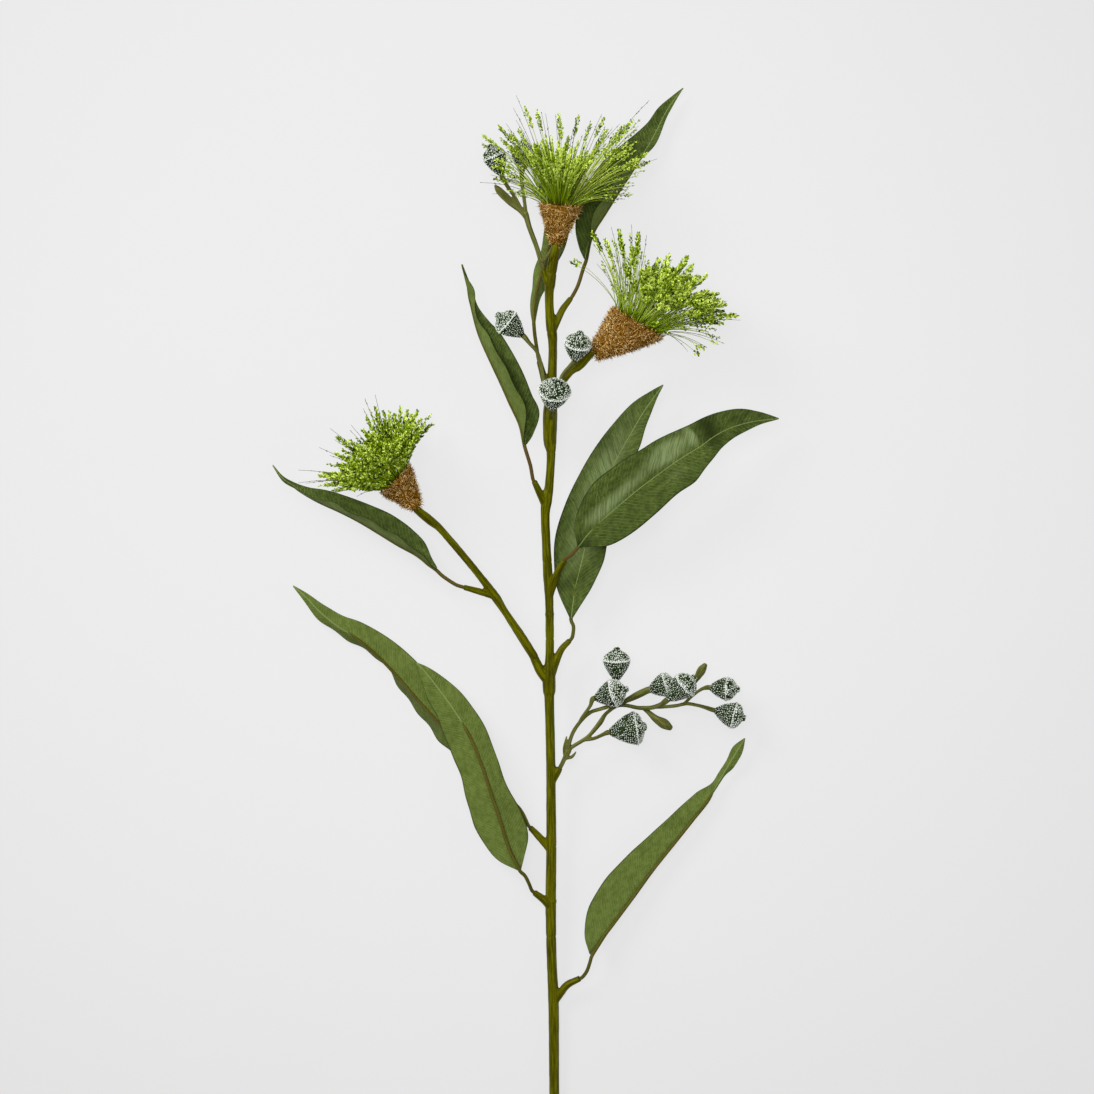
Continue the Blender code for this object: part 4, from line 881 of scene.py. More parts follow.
def finish_piece(piece: bpy.types.Object, slot: str, *nodes: str) -> bpy.types.Object:
    """Rides a piece on the part, hides the CAD nodes that it replaces and reports its faces.

    Args:
        piece: The finished object.
        slot: The record's material slot; not used.
        nodes: CAD nodes that it replaces.

    Returns:
        The same object.
    """
    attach(piece, "root")
    if nodes:
        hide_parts(*nodes)
    LOG.info("%s: %d faces", piece.name, len(piece.data.polygons))
    return piece


@dataclass
class Moulding:
    """Plastic runs moulded into one piece, with soft joints between them."""

    name: str
    runs: list[list[Row]]
    voxel: float
    seams: list[Row] = field(default_factory=list)
    roughen: float = 0.12
    rough_scale: Row = (0.45, 0.16, 0.45)
    # socket runs whose ends get painted shade where a stalk goes in
    shaded_socket_ends: list[int] = field(default_factory=list)
    rounded: bool = False
    per_span: int = 5
    sides: int = 20
    relax_rounds: int = 4
    sample_step: float = 0.6
    socket_shade: float = 2.2
    grain_step: float = 37.0
    chunk: int = 4000

    def build(self, finish: bpy.types.Material, slot: str, *nodes: str) -> bpy.types.Object:
        """Blends the runs and dresses them.

        Args:
            finish: Its material.
            slot: The record's material slot.
            nodes: CAD nodes that it replaces.

        Returns:
            The piece.
        """
        builder = MeshBuilder()
        samples: list[np.ndarray] = []
        for number, run in enumerate(self.runs):
            end = run[-1][3]
            rounding = ROUNDING if self.rounded else ()
            tip = [(*beyond(run, share * end), size * end) for share, size in rounding]
            rows = smooth([tuple(row) for row in run] + tip, self.per_span)
            path, radii = rows[:, :3], rows[:, 3]
            builder.tube(path, radii, self.sides)
            _, across, up, along = path_frames(path)
            steps = max(2, int(along[-1] / self.sample_step))
            at = np.linspace(0, along[-1], steps)
            columns = np.column_stack([path, across, up, radii, along])
            dense = [np.interp(at, along, column) for column in columns.T]
            samples.append(np.column_stack([*dense, np.full(steps, number)]))
        piece = builder.build(self.name, [finish])
        remesh = piece.modifiers.new("blend", "REMESH")
        remesh.mode = "VOXEL"
        remesh.voxel_size = self.voxel * MM
        relax = piece.modifiers.new("relax", "SMOOTH")
        relax.factor = 0.5
        relax.iterations = self.relax_rounds
        graph = bpy.context.evaluated_depsgraph_get()
        mesh = bpy.data.meshes.new_from_object(piece.evaluated_get(graph))
        piece.modifiers.clear()
        piece.data = mesh
        mesh.name = self.name
        mesh.materials.clear()
        mesh.materials.append(finish)
        mesh.polygons.foreach_set("use_smooth", np.full(len(mesh.polygons), True))
        self.lay(mesh, np.vstack(samples))
        return finish_piece(piece, slot, *nodes)

    def lay(self, mesh: bpy.types.Mesh, samples: np.ndarray) -> None:
        """Stores how each point lies on its run, raises seams and roughness, and tints seam stains and
        painted shade at the socket ends.

        Args:
            mesh: The blended mesh.
            samples: Points of the runs with their frames, radii, distances and run numbers.
        """
        sample_radius, sample_along, sample_run = samples[:, 9:].T
        count = len(mesh.vertices)
        places = np.empty(count * 3)
        mesh.vertices.foreach_get("co", places)
        places = places.reshape(-1, 3) / MM - SHIFT
        nearest = np.empty(count, int)
        for start in range(0, count, self.chunk):
            part = places[start:start + self.chunk]
            apart = np.linalg.norm(part[:, None, :] - samples[None, :, :3], axis=2)
            nearest[start:start + self.chunk] = (apart - sample_radius).argmin(axis=1)
        own = samples[nearest]
        away, across, up = places - own[:, :3], own[:, 3:6], own[:, 6:9]
        along, run = sample_along[nearest], sample_run[nearest]
        lie = np.stack([(away * across).sum(1), (away * up).sum(1), along], axis=1)
        outward = units(away, TINY)
        tint = np.zeros(count)
        lift = np.zeros(count)
        for number, at, width, height, stain in self.seams:
            close = np.exp(-((along - at) / width) ** 2) * (run == number)
            lift += height * close
            tint = np.maximum(tint, stain * close)
        # painted shade at the mouth of each listed socket run, darkening its last socket_shade millimetres
        for number in self.shaded_socket_ends:
            run_length = sample_along[sample_run == number].max()
            close = np.clip(1 - (run_length - along) / self.socket_shade, 0, 1) * (run == number)
            tint = np.maximum(tint, close)
        rough = np.array([noise.noise(Vector(p * self.rough_scale)) for p in places])
        places = places + outward * (lift + self.roughen * rough)[:, None]
        places[:, 2] = np.maximum(places[:, 2], 0.0)
        mesh.vertices.foreach_set("co", ((places + SHIFT) * MM).ravel())
        store(mesh, "lie", lie + self.grain_step * run[:, None])
        store(mesh, "tint", tint)
        mesh.update()


@dataclass
class Leaf:
    """One pressed fabric leaf with its plastic rib and stalk."""

    name: str
    stations: list[Row]
    stalk: list[Row]
    # patches of painted sheen and painted shade on the blade
    painted_sheens_and_shades: list[Row] = field(default_factory=list)
    stalk_tint: float = 0.5
    under_reach: float = 0.76
    ripple: float = 0.8
    ripple_ease: float = 25.0
    least_width: float = 0.3
    fold_width: float = 1.7
    droop: float = 4.0
    droop_from: float = 0.55
    margin_from: float = 0.97
    margin_thick: float = 0.55
    middle_thick: float = 0.8
    rib_sides: int = 12
    rib_step: int = 5
    rows: int = 110
    columns: int = 15

    def frames(self) -> np.ndarray:
        """Rows along the midrib: centre, leftward and upward vectors, widths, roll, fold, distance."""
        rows = smooth(self.stations, 14)
        run = distances(rows[:, :3])
        at = np.linspace(0, run[-1], self.rows)
        dense = np.stack([np.interp(at, run, rows[:, k]) for k in range(7)], axis=1)
        ahead = units(np.gradient(dense[:, :3], axis=0))
        left = units(np.cross(UP, ahead))
        return np.hstack([dense[:, :3], left, np.cross(ahead, left),
                          np.maximum(dense[:, 3:5], self.least_width),
                          np.radians(dense[:, 5:7]), at[:, None]])

    def raised(self) -> bool:
        """Whether most of the leaf folds upwards, so that its upper face shows."""
        return sum(row[6] for row in self.stations) >= 0

    def section(self, left_width: float, right_width: float, roll: float, fold: float,
                wave_left: float, wave_right: float) -> tuple[np.ndarray, np.ndarray, np.ndarray]:
        """One cross-section of the blade.

        Args:
            left_width: Half-width on the left.
            right_width: Half-width on the right.
            roll: Turn about the midrib.
            fold: Lift of both halves.
            wave_left: Lift of the left margin, in millimetres.
            wave_right: Lift of the right margin, in millimetres.

        Returns:
            Places, normals and signed distances from the midrib, left to right.
        """
        halves = []
        for side, width, lift, wave in ((-1, left_width, roll + fold, wave_left),
                                        (1, right_width, fold - roll, wave_right)):
            near = min(self.fold_width, 0.4 * width)
            share = np.linspace(0, 1, self.columns) ** 1.25
            s = share * width
            start = -roll * side
            turn = np.where(s <= near, start + (lift - start) * np.clip(s / near, 0, 1), lift)
            outer = np.clip((s - self.droop_from * width) / ((1 - self.droop_from) * width), 0, 1)
            turn = turn - math.copysign(math.radians(self.droop), fold) * outer
            steps = np.diff(s)
            middle = 0.5 * (turn[1:] + turn[:-1])
            u = np.concatenate([[0], np.cumsum(steps * np.cos(middle))])
            v = np.concatenate([[0], np.cumsum(steps * np.sin(middle))])
            bend = wave * share ** 2
            u, v = u - bend * np.sin(turn), v + bend * np.cos(turn)
            halves.append((side * u, v, side * turn, side * s))
        left, right = halves
        joined = [np.concatenate([a[:0:-1], b]) for a, b in zip(left, right)]
        u, v, turn, s = joined
        return np.stack([u, v], axis=1), np.stack([-np.sin(turn), np.cos(turn)], axis=1), s

    def build(self, finishes: Finishes) -> None:
        """Makes the blade and its rib.

        Args:
            finishes: The finishes of the whole stem.
        """
        rng = random.Random(self.name)
        frames = self.frames()
        length = frames[-1, -1]
        phases = [rng.uniform(0, RANDOM_TURN) for _ in range(6)]
        pace = [rng.uniform(22, 30), rng.uniform(38, 55)]
        high, low, lies = [], [], []
        for row in frames:
            centre, left, up = row[:3], row[3:6], row[6:9]
            left_width, right_width, roll, fold, at = row[9:]
            ease = min(1.0, at / self.ripple_ease, (length - at) / self.ripple_ease)
            wave = [self.ripple * ease * (math.sin(RIPPLE_TURN * at / pace[0] + phases[k])
                                          + 0.8 * math.sin(RIPPLE_TURN * at / pace[1] + phases[k + 2]))
                    for k in (0, 1)]
            places, normals, s = self.section(left_width, right_width, roll, fold, *wave)
            width = np.where(s < 0, left_width, right_width)
            thin = np.abs(s) / width > self.margin_from
            thick = BLADE_THICK / 2 * np.where(thin, self.margin_thick, self.middle_thick)
            point = centre - places[:, :1] * left + places[:, 1:] * up
            normal = -normals[:, :1] * left + normals[:, 1:] * up
            top, bottom = point + normal * thick[:, None], point - normal * thick[:, None]
            lift = np.maximum(0.02 - np.minimum(top[:, 2], bottom[:, 2]), 0)
            top[:, 2] += lift
            bottom[:, 2] += lift
            high.append(top)
            low.append(bottom)
            lies.append(np.stack([s, np.full(len(s), at), np.abs(s) / width], axis=1))
        lies = np.array(lies)
        self.skin(np.array(high), np.array(low), lies, self.painted_sheen_and_shade(lies, length), finishes)
        self.rib(frames, finishes)

    def painted_sheen_and_shade(self, lies: np.ndarray, length: float) -> np.ndarray:
        """Painted sheen and painted shade at each place, from 0 to 1 about a half: darker near the base, with
        lighter and darker patches.

        Args:
            lies: Lie coordinates, row by row.
            length: Length of the midrib.

        Returns:
            One number for each place.
        """
        share = lies[..., 1] / length
        tint = 0.5 - 0.3 * np.exp(-(share / 0.03) ** 2)
        # each patch adds painted sheen, or painted shade where its strength is negative
        for at, aside, long, wide, strength in self.painted_sheens_and_shades:
            far = ((share - at) / long) ** 2 + ((lies[..., 0] - aside) / wide) ** 2
            tint = tint + strength * np.exp(-far)
        return np.clip(tint, 0, 1)

    def skin(self, high: np.ndarray, low: np.ndarray, lies: np.ndarray, tint: np.ndarray,
             finishes: Finishes) -> None:
        """Closes the two faces into one blade.

        Args:
            high: Points of the upper face, row by row.
            low: Points of the lower face.
            lies: Their lie coordinates.
            tint: Their painted sheen and painted shade.
            finishes: The finishes of the whole stem.
        """
        rows, columns = high.shape[:2]
        more = rows * columns
        index = np.arange(more).reshape(rows, columns)
        a, b, c, d = index[:-1, :-1], index[:-1, 1:], index[1:, 1:], index[1:, :-1]
        top = np.stack([a, b, c, d], axis=2).reshape(-1, 4)
        under = top[:, ::-1] + more
        left, right, base, tip = [
            np.stack([first, second, second + more, first + more], axis=1)
            for first, second in ((index[:-1, 0], index[1:, 0]), (index[1:, -1], index[:-1, -1]),
                                  (index[0, 1:], index[0, :-1]), (index[-1, :-1], index[-1, 1:]))]
        builder = MeshBuilder()
        points = np.vstack([high.reshape(-1, 3), low.reshape(-1, 3)])
        lie = np.vstack([lies.reshape(-1, 3), lies.reshape(-1, 3)])
        above, below = (Face.UPPER, Face.UNDER) if self.raised() else (Face.UNDER, Face.UPPER)
        builder.add(points, [top, left, right, base, tip], lie, np.tile(tint.ravel(), 2), above.value)
        builder.span([under], below.value)
        piece = builder.build("leaf_" + self.name, [finishes.upper, finishes.under])
        finish_piece(piece, "leaf_fabric", "blade_" + self.name)

    def rib(self, frames: np.ndarray, finishes: Finishes) -> None:
        """The plastic rib pressed on the outside of the fold, with its stalk.

        Args:
            frames: Rows along the midrib.
            finishes: The finishes of the whole stem.
        """
        tip_radius, reach = (RIB_TIP, RIB_REACH) if self.raised() else (RIB_TIP + 0.5, self.under_reach)
        kept = frames[:int(reach * len(frames))]
        rows = [tuple(p) for p in self.stalk]
        for i in range(0, len(kept), self.rib_step):
            row = kept[i]
            radius = RIB_BASE + (tip_radius - RIB_BASE) * i / len(kept)
            roll, fold = row[11:13]
            outward = -math.copysign(1.0, fold) * (-math.sin(roll) * row[3:6] + math.cos(roll) * row[6:9])
            share = min(1.0, i / 10)
            sunk = BLADE_THICK / 2 + radius * (1.15 - 0.75 * share) + GAP * (1 - share)
            rows.append((*(row[:3] + outward * sunk), radius))
        last = kept[-1]
        rows.append((*(last[:3] + unit(last[:3] - kept[-6][:3]) * 5), 0.12))
        smoothed = smooth(rows, 3)
        builder = MeshBuilder()
        free = 3 * len(self.stalk)
        tint = np.where(np.arange(len(smoothed)) < free, self.stalk_tint, 0.5)
        builder.tube(smoothed[:, :3], smoothed[:, 3], self.rib_sides, tint)
        piece = builder.build("rib_piece_" + self.name, [finishes.stalk])
        finish_piece(piece, "rib_plastic", "rib_" + self.name)


def uneven(turn: float, along: float, wobble: float, seed: int) -> float:
    """A turned wall's unevenness at a place, as a share of its radius."""
    return 1 + wobble * noise.noise(Vector((math.cos(turn) * 1.4 + seed, math.sin(turn) * 1.4, along * 0.12)))


def lathe(builder: MeshBuilder, start: np.ndarray, axis: np.ndarray, profile: np.ndarray,
          sides: int, wobble: float, seed: int, tint: float = 0.5) -> None:
    """Adds a solid of revolution with a slightly uneven wall.

    Args:
        builder: Takes the faces.
        start: Foot of the axis.
        axis: Unit vector along it.
        profile: Radius and distance along the axis; the first and last radius are nearly zero.
        sides: Number of sides.
        wobble: Unevenness as a share of the radius.
        seed: Which unevenness.
        tint: Shade.
    """
    side, other = beside(axis)
    rings = []
    lies = []
    for radius, along in profile:
        for k in range(sides):
            turn = FULL_TURN * k / sides
            x, y = math.cos(turn), math.sin(turn)
            rings.append(start + axis * along
                         + radius * uneven(turn, along, wobble, seed) * (x * side + y * other))
            lies.append((x * radius, y * radius, along + 31.0 * seed))
    builder.add(np.array(rings), ring_faces(len(profile), sides), np.array(lies), tint)


@dataclass
class Gumnut:
    """One frosted gumnut: cone, rim and domed cap with a small nub."""

    name: str
    start: Row
    tip: Row
    rim: float
    share: float
    bead_pitch: float = 1.46
    bead_size: Row = (0.31, 0.46)
    bead_slip: float = 0.35
    cap_crowding: float = 0.84
    bare_cone: float = 0.12
    bare_cap: float = 0.2
    rim_band: float = 1.2
    wobble: float = 0.06
    sides: int = 40
    bands: int = 60
    band_radius: float = 0.3
    rim_row: int = 12

    def profile(self, length: float) -> np.ndarray:
        """Radius and distance of the outline, from the base to the tip."""
        body = [(0.001, 0.0), (0.2, 0.0), (0.24, 0.02), (0.3, 0.08), (0.4, 0.17), (0.52, 0.28),
                (0.64, 0.41), (0.75, 0.54), (0.85, 0.68), (0.93, 0.82), (0.985, 0.94), (1.02, 0.985),
                (1.02, 1.0)]
        cap = [(0.985, 0.03), (0.94, 0.05), (0.955, 0.11), (0.93, 0.24), (0.84, 0.38), (0.7, 0.5),
               (0.54, 0.6), (0.4, 0.68), (0.3, 0.74), (0.25, 0.8), (0.24, 0.87), (0.2, 0.94),
               (0.12, 0.985), (0.001, 1.0)]
        below = length * self.share
        return np.array([(self.rim * r, below * h) for r, h in body]
                        + [(self.rim * r, below + (length - below) * h) for r, h in cap])

    def build(self, finishes: Finishes, seed: int) -> None:
        """Makes the nut with its frosting beads.

        Args:
            finishes: The finishes of the whole stem.
            seed: Number of this nut.
        """
        start, tip = np.array(self.start), np.array(self.tip)
        length = float(np.linalg.norm(tip - start))
        axis = unit(tip - start)
        profile = self.profile(length)
        builder = MeshBuilder()
        lathe(builder, start, axis, profile, self.sides, self.wobble, seed)
        self.frosting(builder, start, axis, profile, seed)
        side, other = beside(axis)
        radius, along = profile[self.rim_row]
        ring = []
        for k in range(self.bands + 1):
            turn = FULL_TURN * k / self.bands
            outward = math.cos(turn) * side + math.sin(turn) * other
            ring.append(start + axis * (along + 0.05)
                        + outward * radius * uneven(turn, along, self.wobble, seed) * 0.985)
        builder.tube(np.array(ring), np.full(len(ring), self.band_radius), 6, 0.85, slot=1)
        piece = builder.build("gumnut_piece_" + self.name, [finishes.nut, finishes.frost])
        finish_piece(piece, "nut_plastic", "gumnut_" + self.name)

    def frosting(self, builder: MeshBuilder, start: np.ndarray, axis: np.ndarray,
                 profile: np.ndarray, seed: int) -> None:
        """Adds round beads on the cone and a thicker crust on the cap and the rim.

        Args:
            builder: Takes the faces.
            start: Foot of the axis.
            axis: Unit vector along it.
            profile: Radius and distance of the outline.
            seed: Number of this nut.
        """
        rng = random.Random(seed * 7 + 3)
        side, other = beside(axis)
        run = distances(profile)
        centres, axes, tints = [], [], []
        at = run[2] + 0.7
        rim_at = run[self.rim_row]
        while at < run[-1] - 0.4:
            radius, along = [float(np.interp(at, run, profile[:, k])) for k in (0, 1)]
            ahead, rise = [np.interp(at + 0.1, run, profile[:, k]) - np.interp(at - 0.1, run, profile[:, k])
                           for k in (0, 1)]
            slope = unit(np.array([rise, -ahead]) + 1e-9)
            capped = at > rim_at
            pitch = self.bead_pitch * (self.cap_crowding if capped else 1.0)
            count = max(3, int(FULL_TURN * radius / pitch))
            offset = rng.uniform(0, RANDOM_TURN)
            near_rim = math.exp(-((at - rim_at - self.rim_band / 2) / self.rim_band) ** 2)
            for k in range(count):
                turn = offset + FULL_TURN * (k + rng.uniform(-0.3, 0.3)) / count
                crust = noise.noise(Vector((math.cos(turn) * 1.7 + seed, math.sin(turn) * 1.7, along * 0.3)))
                bare = self.bare_cap if capped else self.bare_cone
                if rng.random() < bare - 0.5 * crust - 0.3 * near_rim:
                    continue
                slip = rng.uniform(-self.bead_slip, self.bead_slip)
                outward = math.cos(turn) * side + math.sin(turn) * other
                normal = slope[0] * outward + slope[1] * axis
                size = rng.uniform(*self.bead_size) * (1 + 0.3 * near_rim + (0.25 if capped else 0.0))
                place = (start + axis * (along + slip * slope[0])
                         + outward * (radius * uneven(turn, along, self.wobble, seed) - slip * slope[1]))
                centres.append(place + normal * size * 0.12)
                tangent = unit(np.cross(normal, axis + 0.01 * side))
                axes.append(np.array([normal * size * 0.75, tangent * size * rng.uniform(0.9, 1.15),
                                      np.cross(normal, tangent) * size * rng.uniform(0.9, 1.1)]))
                tints.append(min(1.0, rng.uniform(0.35, 0.9) + 0.3 * near_rim + 0.3 * crust))
            at += pitch * 0.9
        builder.lumps(np.array(centres), np.array(axes), np.array(tints), slot=1)


@dataclass
class Cup:
    """A blossom's cup under brown fuzz."""

    name: str
    apex: Row
    middle: Row
    rim: float
    hairs_per_square: float = 2.65
    hair_lift: Row = (0.12, 0.6)
    hair_lean: Row = (0.35, 0.55)
    hair_reach: Row = (1.8, 4.2)
    hair_widths: Row = (0.2, 0.16)
    sides: int = 56
    shape: tuple[Row, ...] = ((0.0, 0.0), (0.05, 0.0), (0.27, 0.46), (0.51, 0.64), (0.76, 0.82), (1.0, 1.0))

    def frame_at(self, t: np.ndarray) -> tuple[np.ndarray, np.ndarray, np.ndarray, np.ndarray]:
        """Centre, side and other vectors and radius of the rings at these shares."""
        base, mouth, narrow = CUP_TURNS[self.name]
        t = np.asarray(t, float)[:, None]
        apex, middle = np.array(self.apex, float), np.array(self.middle, float)
        centre = apex + (middle - apex) * t
        ahead = units(np.array(base) * (1 - t) + np.array(mouth) * t)
        side = units(np.cross(UP, ahead))
        shape = np.array(self.shape)
        shape[0, 1], shape[1, 1] = narrow * 0.72, narrow * 1.06
        radius = self.rim * np.interp(t[:, 0], shape[:, 0], shape[:, 1])
        return centre, side, np.cross(ahead, side), radius

    def wall(self, t: np.ndarray, turn: np.ndarray) -> np.ndarray:
        """Places on the cup's wall at these shares and turns."""
        centre, side, other, radius = self.frame_at(t)
        return centre + radius[:, None] * (np.cos(turn)[:, None] * side + np.sin(turn)[:, None] * other)

    def build(self, finishes: Finishes, seed: int) -> None:
        """Makes the cup and its fuzz.

        Args:
            finishes: The finishes of the whole stem.
            seed: Number of this cup.
        """
        builder = MeshBuilder()
        self.body(builder, seed)
        rng = np.random.default_rng(seed)
        length = float(np.linalg.norm(np.subtract(self.middle, self.apex)))
        count = int(FULL_TURN * 0.66 * self.rim * length * self.hairs_per_square)
        shares = np.linspace(0, 1, 200)
        total = np.cumsum(self.frame_at(shares)[3])
        t = np.interp(rng.random(count), total / total[-1], shares)
        turn = rng.random(count) * FULL_TURN
        root = self.wall(t, turn)
        tangent = units(self.wall(t + 0.02, turn) - self.wall(t - 0.02, turn))
        around = units(self.wall(t, turn + 0.02) - self.wall(t, turn - 0.02))
        normal = np.cross(around, tangent)
        clump = np.array([noise.noise(Vector(p * 0.55)) for p in root])
        direction = units(normal * rng.uniform(*self.hair_lift, count)[:, None]
                          + tangent * rng.normal(*self.hair_lean, count)[:, None]
                          + around * rng.normal(0, 0.5, count)[:, None])
        reach = rng.uniform(*self.hair_reach, count) * (1 + 0.4 * clump)
        tint = np.clip(rng.random(count) ** 1.1 + 0.25 * clump, 0, 1)
        self.hairs(builder, root - normal * 0.2, direction, reach, tint, rng)
        piece = builder.build("cup_piece_" + self.name, [finishes.fuzz])
        finish_piece(piece, "cup_fuzz", "cup_" + self.name)

    def body(self, builder: MeshBuilder, seed: int) -> None:
        """Adds the uneven felt body with its sunk mouth.

        Args:
            builder: Takes the faces.
            seed: Which unevenness.
        """
        shares = np.concatenate([np.linspace(0.0, 1.0, 26), [1.0, 0.95, 0.95]])
        scale = np.concatenate([[0.001], np.ones(25), [0.86, 0.8, 0.001]])
        turn = FULL_TURN * np.arange(self.sides) / self.sides
        rings = []
        for share, size in zip(shares, scale):
            centre = self.frame_at([share])[0]
            ring = self.wall(np.full(self.sides, share), turn)
            if size == 1.0:
                lift = [0.45 * noise.noise(Vector(p * 0.4 + seed)) for p in ring]
                ring = ring + units(ring - centre) * np.array(lift)[:, None]
            rings.append(centre + (ring - centre) * size)
        builder.add(np.array(rings).reshape(-1, 3), ring_faces(len(rings), self.sides), None, 0.25)

    def hairs(self, builder: MeshBuilder, root: np.ndarray, direction: np.ndarray, reach: np.ndarray,
              tint: np.ndarray, rng: np.random.Generator) -> None:
        """Adds bent three-sided hairs.

        Args:
            builder: Takes the faces.
            root: Foot of each hair.
            direction: Unit vector of each hair.
            reach: Length of each hair.
            tint: Shade of each hair.
            rng: Source of the bends.
        """
        count = len(root)
        sideways = units(np.cross(direction, rng.normal(size=(count, 3))))
        third = np.cross(direction, sideways)
        bend = sideways * (reach * rng.uniform(0.05, 0.35, count))[:, None]
        points = []
        for share, width, push in zip((0.0, 0.55), self.hair_widths, (0.0, 0.45)):
            centre = root + direction * (reach * share)[:, None] + bend * push
            for k in range(3):
                angle = FULL_TURN * k / 3
                points.append(centre + width * (math.cos(angle) * sideways + math.sin(angle) * third))
        points.append(root + direction * reach[:, None] + bend)
        stack = np.stack(points, axis=1)
        corners = stack.shape[1]
        base = (np.arange(count) * corners)[:, None]
        quads = np.concatenate([base + np.array([k, (k + 1) % 3, 3 + (k + 1) % 3, 3 + k]) for k in range(3)])
        tips = np.concatenate([base + np.array([3 + k, 3 + (k + 1) % 3, 6]) for k in range(3)]
                              + [base + np.array([2, 1, 0])])
        places = stack.reshape(-1, 3)
        places[:, 2] = np.maximum(places[:, 2], 0.05)
        builder.add(places, [quads, tips], None, np.repeat(tint, corners))


@dataclass(frozen=True)
class Habit:
    """How one kind of grain sits on its filament.

    Attributes:
        together: How many grow at one place.
        lean: How far they lean out.
        long: Their length, in radii.
    """

    together: int
    lean: float
    long: float


HABITS = {
    Grain.FINGER: Habit(1, 0.25, 1.5),
    Grain.EAR: Habit(3, 0.6, 1.2),
    Grain.BEADED: Habit(1, 0.8, 1.05),
    Grain.BARE: Habit(1, 0.2, 1.4),
}


@dataclass(frozen=True)
class Strands:
    """One kind of filament in a head, and the part of the head that it fills.

    Attributes:
        grain: How the grains sit.
        count: How many strands there are.
        fan: First and last direction in the lying plane, in degrees.
        rise: Lowest and highest slope, in degrees.
        reach: Shortest and longest strand, as shares of the head's outline.
        beaded: Share of the strand that carries grains.
        lump: Radius of a grain.
        spread: Distance of the grains from the strand.
        pitch: Distance between grains.
        stalk: Radius of the strand.
        shade: How much lighter it is than the others; the short inner strands are set darker, as painted
            shade in the gaps of the head.
    """

    grain: Grain
    count: int
    fan: Row
    rise: Row
    reach: Row
    beaded: float
    lump: float = 1.0
    spread: float = 1.2
    pitch: float = 0.8
    stalk: float = 0.3
    shade: float = 0.0


